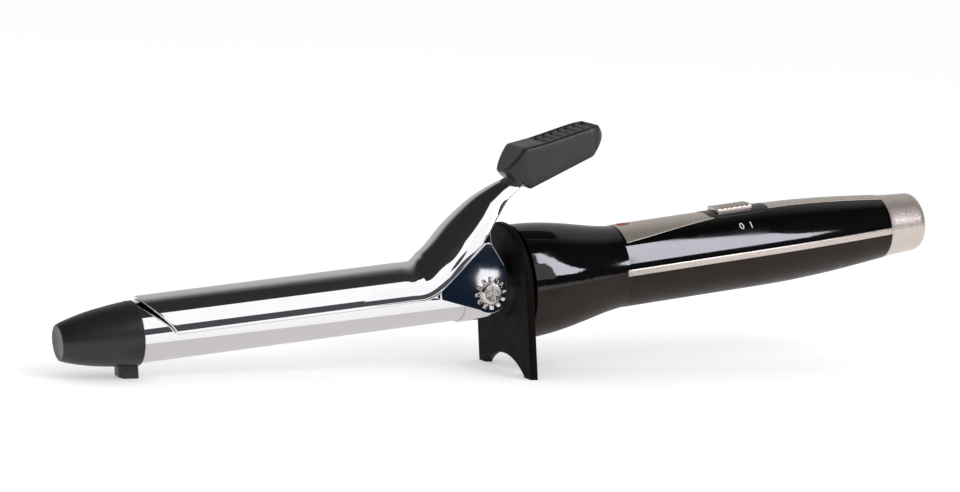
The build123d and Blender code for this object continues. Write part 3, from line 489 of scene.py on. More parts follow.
# Each finish: its colour or the setting that holds it, the patterns of its gloss, shade and relief,
# and the values of the shader's sockets.
finish_table = {
    # Polished chrome: a mirror with faint polishing lines round the tube and a few dull smudges.
    "chrome_plate": ("chrome", dict(
        gloss=(noise(14, 4), 0.02, 0.05), shade=(noise(9), 0.975, 1.0),
        relief=(noise(0.4, 3, (1, 40, 40), pitch_turn), 0.25e-6, 0.3)), dict(Metallic=1.0, Roughness=0.05)),
    # Heat-proof plastic from a spark-eroded mould: a fine grain, a soft sheen and paler rubbed patches.
    "heatproof_black": ("heatproof", dict(
        gloss=(noise(5, 4), 0.36, 0.50), shade=(noise(7, 3), 0.80, 1.25),
        relief=(noise(0.35, 3), 12e-6, 0.6)), dict(Roughness=0.42, Specular_IOR_Level=0.03)),
    # Smoother heat-proof plastic of tip and thumb rest: a brighter sheen over a fine grain.
    "tip_black": ("tip", dict(
        gloss=(noise(6, 4), 0.32, 0.42), shade=(noise(8, 3), 0.88, 1.15),
        relief=(noise(0.35, 3), 8e-6, 0.5)), dict(Roughness=0.36, Specular_IOR_Level=0.5)),
    # Piano-black moulding: deep gloss with the slightest waviness and fine wiped dust.
    "gloss_black": ("gloss", dict(
        gloss=(noise(11, 5), 0.035, 0.10), shade=(noise(1.5, 4), 0.7, 1.6),
        relief=(noise(6, 1), 6e-6, 0.35)), dict(Roughness=0.06, Specular_IOR_Level=0.5)),
    # Smoke-brown satin moulding with a fine grain.
    "smoke_satin": ("smoke", dict(
        gloss=(noise(6, 4), 0.32, 0.43), shade=(noise(10, 3), 0.88, 1.14),
        relief=(noise(0.4), 8e-6, 0.5)), dict(Roughness=0.36, Specular_IOR_Level=0.16)),
    # Champagne lacquer: metal flakes of many shades under a satin clear coat.
    "champagne_metallic": ("champagne", dict(
        gloss=(flakes, 0.27, 0.33), shade=(flakes, 0.975, 1.025, 0.0, 1.0), relief=(noise(3), 2e-6, 0.15)),
        dict(Metallic=0.75, Roughness=0.30, Coat_Weight=0.25, Coat_Roughness=0.15)),
    # Tinted clear window with the lamp's glow in it.
    "lamp_window": ("lamp", dict(shade=(noise(1.2), 0.85, 1.1), relief=(noise(0.8), 4e-6, 0.3)), dict(
        Roughness=0.12, Transmission_Weight=0.25, Emission_Color=(1.0, 0.12, 0.08, 1.0), Emission_Strength=0.07)),
    # Plated or bare steel with turning and rolling marks drawn out one way.
    "plated_steel": ("steel", dict(
        gloss=(rolled, 0.11, 0.22), shade=(noise(2.5, 3), 0.92, 1.0), relief=(rolled, 1.5e-6, 0.5)),
        dict(Metallic=1.0, Roughness=0.11)),
    # Hardened washer steel, polished by the clamp's ears and darkened by oil.
    "washer_steel": ("steel", dict(
        gloss=(rolled, 0.07, 0.15), shade=(noise(2.5, 3), 0.72, 1.0), relief=(rolled, 1.5e-6, 0.5)),
        dict(Metallic=1.0, Roughness=0.07)),
    # Aluminium bar with die lines along it.
    "extruded_aluminium": ((0.72, 0.72, 0.74), dict(gloss=(die_lines, 0.25, 0.42), relief=(die_lines, 4e-6, 0.6)),
                           dict(Metallic=1.0, Roughness=0.32)),
    # Rolled brass, a little tarnished.
    "contact_brass": ((0.72, 0.52, 0.25), dict(
        gloss=(noise(1.5, 3), 0.18, 0.36), shade=(noise(4, 4), 0.80, 1.05), relief=(noise(0.3), 2e-6, 0.4)),
        dict(Metallic=1.0, Roughness=0.24)),
    # Sintered stone: speckled, dull and finely pitted.
    "sintered_ceramic": ((0.25, 0.24, 0.22), dict(
        shade=(cells(0.3), 0.75, 1.25, 0.0, 1.0), relief=(noise(0.35, 3), 15e-6, 0.7)), dict(Roughness=0.72)),
    # Wrapped insulating film with streaks of its winding.
    "amber_film": ((0.55, 0.32, 0.10), dict(shade=(windings, 0.78, 1.15), relief=(windings, 10e-6, 0.4)),
                   dict(Roughness=0.30, Coat_Weight=0.3)),
    # Green circuit laminate whose solder mask shows the copper under it in cells.
    "board_laminate": ((0.035, 0.16, 0.075), dict(
        shade=(cells(3.5), 0.75, 1.45, 0.45, 0.55), relief=(cells(3.5), 20e-6, 0.4)),
        dict(Roughness=0.34, Specular_IOR_Level=0.5)),
    # Silicone jacket of the heater's wires.
    "wire_jacket": ((0.60, 0.09, 0.06), dict(shade=(noise(2), 0.88, 1.08), relief=(noise(0.5), 8e-6, 0.5)),
                    dict(Roughness=0.55)),
    # Clear red epoxy of the lamp on the board.
    "lamp_body": ((0.85, 0.22, 0.16), dict(shade=(noise(1), 0.9, 1.05)), dict(Roughness=0.15, Transmission_Weight=0.4)),
    # Screen-printed white ink, a little uneven.
    "white_print": ("print_white", dict(shade=(noise(0.3, 3), 0.90, 1.05), relief=(noise(0.15), 4e-6, 0.5)),
                    dict(Roughness=0.55)),
}
made_finishes = {}


def finish_of(name):
    """The material of a row of the table, made once."""
    if name not in made_finishes:
        color, patterns, sockets = finish_table[name]
        finish = Finish(name, getattr(colours(), color) if isinstance(color, str) else color, **sockets)
        for part, values in patterns.items():
            getattr(finish, part)(*values)
        made_finishes[name] = finish.material
    return made_finishes[name]


def shapes():
    """The size settings of the scene."""
    return bpy.context.scene.iron_sizes


def colours():
    """The colour settings of the scene."""
    return bpy.context.scene.iron_finishes


# ---------------------------------------------------------------- cool tip and barrel
def tip_body():
    """Bullet about the barrel's axis: a dished nose, a rounded nose edge, a taper that swells, and a rim.

    The taper's radius goes smoothly through shares of the way from nose to rim at thirds of the length."""
    nose_flat, nose_edge, edge_depth, dish, rim_edge, tuck = 5.9, 0.8, 0.8, 0.4, 0.35, 0.6
    swell = ((0.0, 0.0), (0.16, 0.26), (0.33, 0.50), (0.67, 0.82), (0.88, 0.955), (1.0, 1.0))
    nose, rim = tip_low[0], barrel_low[0]
    length = rim - nose
    edge_radius = nose_flat + nose_edge
    rounding = np.linspace(0, pi / 2, 7)
    knots, shares = np.array(swell).T
    way = np.linspace(0.06, 1, 40)
    taper = edge_radius + (tip_rim - edge_radius) * through(knots, shares, way)
    flat = np.linspace(0, nose_flat - 0.3, 6)
    places = np.concatenate([
        nose + dish * (1 - (flat / nose_flat) ** 2), nose + nose_edge * (1 - np.cos(rounding)) * edge_depth,
        nose + way * length - rim_edge * (way == 1), [rim - 0.1, rim, rim]])
    radii = np.concatenate([
        flat, nose_flat + nose_edge * np.sin(rounding),
        taper, [tip_rim - 0.12, tip_rim - rim_edge, barrel_radius - tuck]])
    return grid(closed_ends(turned(places, radii, 128)))


def tip_foot():
    """Foot under the tip: a rounded rectangle carried down to the table, its lower front edge cut off."""
    length, width, edge, chamfer = 7.4, 6.2, 1.0, 1.3
    rear = barrel_low[0] - 0.2
    heights = np.array([-tip_rim + 3.2, -tip_rim, tip_low[2] + chamfer, tip_low[2] + 0.3, tip_low[2] - 0.2])
    cut = np.clip((tip_low[2] + chamfer - heights) / chamfer, 0, 1) * chamfer
    half = (length - cut) / 2
    points = bar(in_middle(rear - half, heights), (1.0, 0.0, 0.0), ACROSS, half, width / 2, edge, rounded_ring(5, 3, 3))
    return grid(closed_ends(points))


def tip_seam():
    """Shallow bead round the tip just before its rim: a torus about the barrel's axis."""
    place, bead = barrel_low[0] - 2.2, 0.28
    radius = tip_rim - 0.30
    turn = np.linspace(0, 2 * pi, 12, endpoint=False)
    return grid(turned(place + bead * np.cos(turn), radius + bead * np.sin(turn), 128), close_rows=True)


class IRON_OT_tip(Operator):
    """Build the heat-proof tip with its foot"""
    bl_idname = "iron.tip"
    bl_label = "Cool tip"
    bl_options = {"REGISTER", "UNDO"}

    def execute(self, context):
        surface = joined(tip_body(), tip_foot(), tip_seam())
        make_piece("tip_shell", surface, IRON, finish_of("tip_black"), ("cool_tip",))
        return {"FINISHED"}


def barrel_shell():
    """Thin tube: a section loop of outside, rounded ends and bore, turned about the axis."""
    wall, edge = 0.8, 0.2
    start, end = barrel_low[0], barrel_high[0]
    middle = np.linspace(start + 4, end - 4, 30)
    places = np.concatenate([[start, start + edge], middle, [end - edge, end],
                             [end, end - edge, start + edge, start]])
    outer, bore = barrel_radius, barrel_radius - wall
    radii = np.concatenate([[outer - edge, outer], np.full_like(middle, outer), [outer, outer - edge],
                            [bore + edge, bore, bore, bore + edge]])
    return grid(turned(places, radii, 160), close_rows=True)


class IRON_OT_barrel(Operator):
    """Build the chromed barrel"""
    bl_idname = "iron.barrel"
    bl_label = "Barrel"
    bl_options = {"REGISTER", "UNDO"}

    def execute(self, context):
        make_piece("barrel_shell", barrel_shell(), IRON, finish_of("chrome_plate"), ("barrel_tube",))
        return {"FINISHED"}


# ---------------------------------------------------------------- clamp
# Stations of the pressed sheet behind the straight blade: middle x, middle z, lean of the crest from
# upright in degrees, half width and crest height.
lever_stations = (
    (-26.0, 0.0, 0.0, 13.10, 13.10),
    (-14.5, 5.6, 30.0, 12.75, 12.80),
    (-1.8, 18.2, 41.4, 12.20, 11.70),
    (5.9, 26.8, 30.0, 9.20, 9.00),
    (12.4, 33.0, 24.8, 6.20, 6.00),
    (18.6, 36.9, 22.2, 4.60, 4.20),
)


def clamp_stations():
    """Stations from the blade's nose to the lever's end, and the half angle that the sheet spans at each.

    The nose is round in plan: its half width is that of a circle, so the half angle is the arc sine of
    half width over radius. From the lever's root on, the stations go smoothly through the named ones."""
    flare = 0.3
    nose, sheet = blade_low[0], blade_outer
    nose_radius = sheet + flare
    near = nose + nose_radius * (1 - np.cos(np.linspace(0.02, pi / 2, 40)))
    straight = np.linspace(near[-1], lever_stations[0][0] - 6.0, 30)[1:]
    half_width = np.sqrt(np.clip(nose_radius ** 2 - (nose + nose_radius - near) ** 2, 0, None))
    spans = np.concatenate([np.arcsin(np.minimum(half_width / sheet, 1.0)), np.full(len(straight), pi / 2)])
    blade = np.concatenate([near, straight])
    blade = np.stack(np.broadcast_arrays(blade, 0.0, 0.0, sheet, sheet), -1)
    table = np.array([(lever_stations[0][0] - 12.0, 0, 0, sheet, sheet),
                      (lever_stations[0][0] - 6.0, 0, 0, sheet, sheet), *lever_stations], float)
    knots = np.concatenate([[0], np.cumsum(np.hypot(*np.diff(table[:, :2], axis=0).T))])
    lever = through(knots, table, np.linspace(knots[1], knots[-1], 90)[1:])
    return np.concatenate([blade, lever]), np.concatenate([spans, np.full(len(lever), pi / 2)])


def clamp_sheet():
    """Blade and lever as one pressed sheet.

    Point = middle + y x half width x sin(angle) + crest x height x cos(angle), for angles within the span;
    the loop goes over the outside, round one cut edge in a half circle, back inside and round the other."""
    sheet = shapes().sheet / MM
    stations, spans = clamp_stations()
    x, z, lean, half_width, height = stations.T
    around = np.linspace(-1, 1, 49)
    turn = np.linspace(0, pi, 9)[1:-1]
    across, cut = np.ones_like(around), np.ones_like(turn)
    share = np.concatenate([around, cut, around[::-1], -cut])
    out = sheet / 2 * np.concatenate([across, np.cos(turn), -across, -np.cos(turn)])
    past = sheet / 2 * np.concatenate([0 * across, np.sin(turn), 0 * across, -np.sin(turn)])
    span = np.maximum(spans - sheet / 2 / blade_outer, 0.002)[:, None]
    angle = share * span
    lean = np.radians(lean)[:, None]
    width = half_width[:, None] - sheet / 2
    tall = height[:, None] - sheet / 2
    sideways = (width + out) * np.sin(angle) + past * np.cos(angle)
    upwards = (tall + out) * np.cos(angle) - past * np.sin(angle)
    return grid(closed_ends(np.stack([
        x[:, None] - np.sin(lean) * upwards, sideways, z[:, None] + np.cos(lean) * upwards], -1)))


def ear_outline():
    """Ear from the blade round the pivot and up to the lever's edge, seen from the side."""
    round_radius, heel = 7.5, 38.0
    heel_point = round_radius * np.array([-sin(radians(heel)), -cos(radians(heel))])
    return np.concatenate([
        run((-20.0, 0.0), heel_point, 10), arc((0, 0), round_radius, -90 - heel, 0, 24)[:-1],
        legs([(round_radius, 0.0), (6.4, 9.0), (1.6, 17.5)], 6, 6), arc((-0.3, 17.0), 1.95, 15, 130, 8)[:-1],
        legs([(-1.6, 18.5), (-15.0, 7.0), (-20.0, 3.0), (-20.0, 0.0)], 10, 5, 2)])


def ears():
    """Flat ears with the pivot's holes, drawn in plan and stood up at both sides of the barrel."""
    hole, edge = 2.45, 0.15
    sheet = shapes().sheet / MM
    flat = plate(ear_outline(), hole, blade_outer - sheet, blade_outer + 0.02, edge)
    return both_sides(grid(flat[..., [0, 2, 1]], close_rows=True))


class IRON_OT_clamp(Operator):
    """Build the clamp's blade, lever and ears"""
    bl_idname = "iron.clamp"
    bl_label = "Clamp"
    bl_options = {"REGISTER", "UNDO"}

    def execute(self, context):
        surface = joined(clamp_sheet(), ears())
        make_piece("clamp_sheet", surface, IRON, finish_of("chrome_plate"), ("clamp_blade",))
        return {"FINISHED"}


screw_cap = 1.4             # height of the screws' heads
washer_ring, washer_tooth, washer_teeth = 4.3, 1.8, 12


def screw_head():
    """Pan head over its own middle: a shallow dome with a rounded rim, less a cross of two V-shaped slots.

    Height = dome of the radius - slot depth x how near the point is to either slot's middle line."""
    radius, rim, dome, hollow, slot_half, slot_reach = 4.0, 0.75, 0.15, 1.1, 0.75, 2.6
    rings = np.concatenate([np.linspace(0.02, radius - rim, 40),
                            radius - rim + rim * np.sin(np.linspace(0.1, pi / 2, 8))])
    turn = np.linspace(0, 2 * pi, 120, endpoint=False)
    u, v = (rings[:, None] * f(turn + pi / 4) for f in (np.cos, np.sin))
    slots = [np.clip(1 - np.abs(a) / slot_half, 0, 1) * step(slot_reach - np.abs(b), 0, 0.6)
             for a, b in ((u, v), (v, u))]
    past = np.clip((rings - radius + rim) / rim, 0, 1)
    top = screw_cap - rim * (1 - np.sqrt(np.clip(1 - past ** 2, 0, None))) - dome * (rings / radius) ** 2
    height = top[:, None] - hollow * np.maximum(*slots)
    height = np.concatenate([height, np.zeros((1, len(turn)))])
    u, v = (np.concatenate([a, a[-1:]]) for a in (u, v))
    face = screw_high[1] - screw_cap
    return grid(closed_ends(np.stack([u, face + height, v], -1)))


def washer_outline():
    """Tooth circle: the ring's radius plus a tooth that rises and falls twelve times round."""
    turn = np.linspace(0, 2 * pi, 288, endpoint=False)
    wave = np.cos(washer_teeth * turn)
    return (washer_ring + washer_tooth * step(wave, 0.0, 0.9))[:, None] * np.stack([np.cos(turn), np.sin(turn)], -1)


def toothed_washer():
    """Lock washer: a toothed plate whose teeth are twisted, so their height leans with the turn."""
    twist, hole, thickness, gap, edge = 0.16, 2.5, 0.4, 0.05, 0.12
    top = washer_high[1] - gap
    flat = plate(washer_outline(), hole, top - thickness, top, edge, 4, 3)
    radius = np.linalg.norm(flat[..., :2], axis=-1)
    turn = np.arctan2(flat[..., 1], flat[..., 0])
    flat[..., 2] += twist * np.sin(washer_teeth * turn) * np.clip((radius - washer_ring) / washer_tooth, 0, 1)
    return grid(flat[..., [0, 2, 1]], close_rows=True)


def screw_shank():
    """Shoulder under the head down to the bracket's pad and the thread that is screwed into it."""
    shoulder, thread, thread_length, shoulder_length = 2.4, 1.6, 3.6, 1.7
    face = screw_high[1] - screw_cap
    pad = face - shoulder_length
    ends = np.array([pad - thread_length, pad - thread_length + 0.2, pad, pad, face + 0.1])
    radii = np.array([thread - 0.2, thread, thread, shoulder, shoulder])
    points = turned(ends, radii, 48)
    return grid(closed_ends(points[..., [1, 0, 2]]))


class IRON_OT_hinge_screws(Operator):
    """Build the pivot screws and their toothed washers"""
    bl_idname = "iron.hinge_screws"
    bl_label = "Pivot screws"
    bl_options = {"REGISTER", "UNDO"}

    def execute(self, context):
        screws = both_sides(joined(screw_head(), screw_shank()))
        make_piece("screw_heads", screws, IRON, finish_of("plated_steel"), ("pivot_screws",), crease=30.0)
        make_piece("toothed_washers", both_sides(toothed_washer()), IRON, finish_of("washer_steel"), ("lock_washers",),
                   crease=30.0)
        return {"FINISHED"}


# ---------------------------------------------------------------- clamp spring
# Corners of the spring's strip beyond its flat seat on the bracket (x, z), and its thickness.
spring_knee, spring_tip, spring_sheet = (5.2, 23.0), (-1.6, 30.4), 0.5


def spring_path():
    """Middle line of the strip: straight between its corners, each rounded by an arc about the centre m,
    m + (sin((1-t) w) (a - m) + sin(t w) (b - m)) / sin w, w the turn, a and b where the arc meets the straights."""
    seat_end, radius = 6.0, 2.2
    base = spring_low[2] + spring_sheet / 2
    corners = np.array([(spring_low[0], base), (seat_end, base), spring_knee, spring_tip])
    t = np.linspace(0, 1, 11)[:, None]
    pieces = [corners[:1]]
    for corner, before, after in zip(corners[1:-1], corners[:-2], corners[2:]):
        back, on = ((end - corner) / np.linalg.norm(end - corner) for end in (before, after))
        turn = pi - np.arccos(back @ on)
        a, b = (corner + radius * np.tan(turn / 2) * way for way in (back, on))
        centre = corner + (back + on) / np.linalg.norm(back + on) * radius / np.cos(turn / 2)
        shares = np.sin((1 - t) * turn), np.sin(t * turn)
        pieces.append(centre + (shares[0] * (a - centre) + shares[1] * (b - centre)) / np.sin(turn))
    pieces.append(corners[-1:])
    line = np.concatenate(pieces)
    along = np.concatenate([[0], np.cumsum(np.linalg.norm(np.diff(line, axis=0), axis=1))])
    even = np.linspace(0, along[-1], 90)
    return np.stack([np.interp(even, along, line[:, k]) for k in (0, 1)], -1)


def spring_strip():
    """Bent strip: a thin rounded rectangle carried along the path, square to it everywhere."""
    edge = 0.1
    line = spring_path()
    slope = np.gradient(line, axis=0)
    slope /= np.linalg.norm(slope, axis=1)[:, None]
    square = in_middle(-slope[:, 1], slope[:, 0])
    return grid(closed_ends(bar(in_middle(*line.T), ACROSS, square, spring_high[1], spring_sheet / 2, edge,
                                rounded_ring(3, 4, 2))))


class IRON_OT_spring(Operator):
    """Build the clamp spring, the bent strip between the bracket and the lever"""
    bl_idname = "iron.spring"
    bl_label = "Clamp spring"
    bl_options = {"REGISTER", "UNDO"}

    def execute(self, context):
        # The bend would end at the free end, so the strip would bow no further back than the stand plate; make_piece
        # does not read these places, so the strip stays as drawn.
        held = 4.2              # height over the seat that stays still
        start, end = placed(np.array([(0.0, 0.0, spring_low[2] + held), (0.0, 0.0, spring_high[2])]), IRON)
        make_piece("spring_leaf", spring_strip(), IRON, finish_of("plated_steel"), ("clamp_spring",),
                   bends=("base", "clamp", start, end))
        return {"FINISHED"}


# ---------------------------------------------------------------- thumb rest
# Side outline of the thumb rest over and under: x, z.
thumb_over = ((11.6, 42.6), (18.8, 51.3), (22.5, 51.75), (27.5, 52.5), (33.0, 53.6), (39.0, 54.9), (45.0, 56.1),
              (50.0, 56.9), (53.6, 52.4))
thumb_under = ((11.6, 42.6), (20.4, 35.8), (47.0, 45.3), (53.6, 52.4))


def thumb_paddle():
    """Paddle moulded over the lever's end, with a ribbed dish on top.

    At each place along it the section is a rounded rectangle between the lower and the upper outline; its
    half width is that of a plan with round ends. Points that face up sink by the dish, a soft-edged
    pocket whose floor rises again in ribs."""
    half_width, corner, edge = 8.5, 8.2, 1.3
    dish_start, dish_end, dish_half, soft = 27.5, 49.5, 6.4, 0.5
    rib_width, rib_share, rib_soft = 1.1, 0.64, 0.35
    depth = shapes().dish_depth / MM
    ribs = shapes().dish_ribs
    start, end = thumb_over[0][0], thumb_over[-1][0]
    x = np.linspace(start, end, 241)
    over, under = (softened(np.interp(x, *np.array(outline).T), 4) for outline in (thumb_over, thumb_under))
    half_tall = np.maximum((over - under) / 2, 0.05)
    from_end = np.minimum(x - start, end - x)
    into = np.clip(corner - from_end, 0, corner)
    wide = half_width - corner + np.sqrt(corner ** 2 - into ** 2)
    ring = rounded_ring(7, 40, 8)
    points = bar(in_middle(x, (over + under) / 2), ACROSS, UP, wide, half_tall, edge, ring)
    upwards = ring[1][:, 1] > 0.98
    along, sideways = points[..., 0], points[..., 1]
    pocket = (step(along, dish_start, soft) * step(-along, -dish_end, soft)
              * step(dish_half - np.abs(sideways), 0, soft))
    pitch = (dish_end - dish_start) / (ribs + 1)
    offset = np.abs((along - dish_start) / pitch - np.round((along - dish_start) / pitch)) * pitch
    inside = (along > dish_start + pitch / 2) & (along < dish_end - pitch / 2)
    rib = step(rib_width / 2 - offset, 0, rib_soft) * inside
    points[..., 2] -= upwards * pocket * depth * (1 - rib_share * rib)
    return grid(closed_ends(points))


class IRON_OT_thumb_rest(Operator):
    """Build the thumb rest"""
    bl_idname = "iron.thumb_rest"
    bl_label = "Thumb rest"
    bl_options = {"REGISTER", "UNDO"}

    def execute(self, context):
        make_piece("thumb_paddle", thumb_paddle(), IRON, finish_of("tip_black"), ("thumb_rest",), crease=50.0)
        return {"FINISHED"}


# ---------------------------------------------------------------- stand plate
def stand_outline():
    """Stand from the front: a round top, straight sides, two feet and a round arch between them."""
    foot_width, arch_height, foot_level = 5.3, 6.4, -32.6
    half = stand_high[1]
    centre = stand_high[2] - half
    floor = stand_low[2] - 0.3
    chord = half - foot_width
    radius = (chord ** 2 + arch_height ** 2) / (2 * arch_height)
    lean = degrees(asin(chord / radius))
    top = foot_level + arch_height
    return np.concatenate([
        arc((0, centre), half, 0, 180, 90)[:-1],
        legs([(-half, centre), (-half, floor), (-chord, floor), (-chord, foot_level)], 24, 8, 2),
        arc((0, top - radius), radius, 90 + lean, 90 - lean, 40)[:-1],
        legs([(chord, foot_level), (chord, floor), (half, floor), (half, centre)], 2, 8, 24)])


def stand_shape():
    """Plate of the stand stood across the barrel: plan x and y become y and z, height becomes x."""
    flat = plate(stand_outline(), barrel_radius + 0.05, stand_low[0], stand_high[0], shapes().edge / MM, 8, 5)
    return grid(flat[..., [2, 0, 1]], close_rows=True)


class IRON_OT_stand(Operator):
    """Build the stand plate"""
    bl_idname = "iron.stand"
    bl_label = "Stand plate"
    bl_options = {"REGISTER", "UNDO"}

    def execute(self, context):
        black = finish_of("heatproof_black")
        make_piece("stand", stand_shape(), IRON, black, ("stand_plate",), crease=40.0)
        dress(black, "barrel_collar")
        return {"FINISHED"}


# ---------------------------------------------------------------- handle
def handle_radius(places):
    """Radius of the handle along its axis, smooth through the CAD skin's radius at knots."""
    knots = np.linspace(strip_low[0] + 1.5, strip_high[0] - 0.5, 12)
    turn = radians(-40.0)
    return through(knots, [skin_radius("handle_lower_shell", HANDLE, knot, turn) for knot in knots], places)


class IRON_OT_shells(Operator):
    """Dress the upper and lower handle shells"""
    bl_idname = "iron.shells"
    bl_label = "Handle shells"
    bl_options = {"REGISTER", "UNDO"}

    def execute(self, context):
        dress(finish_of("gloss_black"), "handle_upper_shell", "switch_bezel")
        dress(finish_of("smoke_satin"), "handle_lower_shell")
        return {"FINISHED"}


def side_strip():
    """Trim along the parting line: a rounded rectangle carried at the handle's radius, just proud of it."""
    half_tall, depth, proud, edge, end_share = 1.3, 1.0, 0.25, 0.4, 0.3
    places, insets = rounded_run(strip_low[0], strip_high[0], edge, 60)
    radius = handle_radius(places) + proud
    middles = np.stack(np.broadcast_arrays(places, radius - depth / 2, 0.0), -1)
    points = bar(middles, ACROSS, UP, depth / 2 - end_share * insets, half_tall - insets, edge,
                 rounded_ring(5, 2, 6))
    return grid(closed_ends(points))


class IRON_OT_trims(Operator):
    """Build the champagne trims of the handle"""
    bl_idname = "iron.trims"
    bl_label = "Trims"
    bl_options = {"REGISTER", "UNDO"}

    def execute(self, context):
        champagne = finish_of("champagne_metallic")
        left = side_strip()
        for side, surface in (("left", left), ("right", mirrored(left))):
            make_piece(f"side_strip_{side}", surface, HANDLE, champagne, (f"side_trim_{side}",), crease=50.0)
        dress(champagne, "top_trim_front", "top_trim_rear")
        return {"FINISHED"}


# ---------------------------------------------------------------- switch and lamp
def slide_knob():
    """Slide knob: a rounded block with a crowned top and grooves across it.

    Points that face up follow the handle's roundness and sink by a cosine groove at even steps."""
    crown_radius, block, groove, margin, edge, sunk = 18.4, 2.6, 0.85, 2.2, 0.45, 0.9
    ribs = shapes().knob_ribs
    low, high = knob_low, knob_high - [0.0, 0.0, sunk]
    foot = high[2] - block + sunk
    places, insets = rounded_run(low[0], high[0], edge, 150)
    half_tall = (high[2] - foot) / 2
    ring = rounded_ring(5, 24, 6)
    points = bar(in_middle(places, foot + half_tall), ACROSS, UP, knob_high[1] - insets, half_tall - insets, edge,
                 ring)
    drop = crown_radius - np.sqrt(crown_radius ** 2 - points[..., 1] ** 2)
    span = (high[0] - low[0]) - 2 * margin
    way = (points[..., 0] - low[0] - margin) / span * (ribs - 1)
    within = step(way, -0.5, 0.1) * step(ribs - 1 - way, -0.5, 0.1)
    cut = groove * (0.5 + 0.5 * np.cos(2 * pi * way)) ** 2 * within
    up = np.clip(ring[1][:, 1], 0, 1) ** 2
    points[..., 2] -= drop + up * cut
    return grid(closed_ends(points))


def knob_stem():
    """Stem of the knob through the slot down to the switch body."""
    half_length, half_width, under_top, edge = 2.5, 1.6, 1.6, 0.4
    middle = (knob_low[0] + knob_high[0]) / 2
    return box_bar((middle - half_length, -half_width, knob_low[2]),
                   (middle + half_length, half_width, knob_high[2] - under_top), edge)


class IRON_OT_switch(Operator):
    """Build the slide knob"""
    bl_idname = "iron.switch"
    bl_label = "Slide switch"
    bl_options = {"REGISTER", "UNDO"}

    def execute(self, context):
        surface = joined(slide_knob(), knob_stem())
        make_piece("slide_knob", surface, HANDLE, finish_of("champagne_metallic"), ("switch_knob",), crease=45.0)
        return {"FINISHED"}


def lens_pill():
    """Lamp window: a pill in plan, domed on top.

    Each outline point is drawn in to the middle by a share; the height falls with the cube of the share,
    and the last ring goes straight down into the shell."""
    half_width, crown, fall = lens_high[1], 0.25, 0.45
    length = lens_high[0] - lens_low[0]
    middle = (lens_low[0] + lens_high[0]) / 2
    half_run = length / 2 - half_width
    outline = np.concatenate([
        arc((half_run, 0), half_width, -90, 90, 24)[:-1], run((half_run, half_width), (-half_run, half_width), 6),
        arc((-half_run, 0), half_width, 90, 270, 24)[:-1], run((-half_run, -half_width), (half_run, -half_width), 6)])
    share = np.concatenate([np.linspace(0.02, 1, 14), [1.0, 1.0]])
    top = lens_high[2] + crown - fall * share ** 3
    top[-1] = lens_low[2]
    plan = share[:, None, None] * outline
    sag = plan[..., 1] ** 2 / (2 * lens_high[2])
    sag[-1] = 0
    height = top[:, None] - sag
    return grid(closed_ends(np.concatenate([plan + [middle, 0], height[..., None]], -1)))


class IRON_OT_lamp(Operator):
    """Build the lamp's window"""
    bl_idname = "iron.lamp"
    bl_label = "Lamp window"
    bl_options = {"REGISTER", "UNDO"}

    def execute(self, context):
        make_piece("lamp_window", lens_pill(), HANDLE, finish_of("lamp_window"), ("lamp_lens",))
        dress(finish_of("lamp_body"), "lamp")
        return {"FINISHED"}


def on_handle(along, round_way, height, turn):
    """Points printed on the handle: along it, round it from a turn off the top, and above its skin."""
    radius = handle_radius(along.ravel()).reshape(along.shape)
    angle = turn + round_way / radius
    return np.stack([along, -(radius + height) * np.sin(angle), (radius + height) * np.cos(angle)], -1)


ink = 0.04                  # thickness of the print
section_out, section_up = np.array([-1, 1, 1, -1]), ink * np.array([1, 1, -1, -1])


def zero_mark(along, turn):
    """An upright oval ring: a flat section carried round an ellipse."""
    half_wide, stroke = 0.72, 0.38
    half_tall = shapes().mark_height / MM / 2
    sweep = np.linspace(0, 2 * pi, 48, endpoint=False)[:, None]
    out = stroke / 2 * section_out
    return grid(on_handle(along + (half_wide + out) * np.cos(sweep), (half_tall + out) * np.sin(sweep),
                          section_up + 0 * sweep, turn), close_rows=True)


def one_mark(along, turn):
    """An upright stroke: a flat section carried round the handle."""
    half_wide, overshoot = 0.21, 0.15
    half_tall = shapes().mark_height / MM / 2 + overshoot
    way = np.linspace(-half_tall, half_tall, 12)[:, None]
    out = half_wide * section_out
    return grid(closed_ends(on_handle(along + out + 0 * way, way + 0 * out, section_up + 0 * way, turn)))


class IRON_OT_marks(Operator):
    """Print the 0 and I beside the switch"""
    bl_idname = "iron.marks"
    bl_label = "Switch marks"
    bl_options = {"REGISTER", "UNDO"}

    def execute(self, context):
        turn, zero_place, one_place = radians(47.0), -2.3, 1.8
        middle = (bezel_low[0] + bezel_high[0]) / 2
        surface = joined(zero_mark(middle + zero_place, turn), one_mark(middle + one_place, turn))
        make_piece("switch_marks", surface, HANDLE, finish_of("white_print"), ("handle_upper_shell",), instead=False)
        return {"FINISHED"}


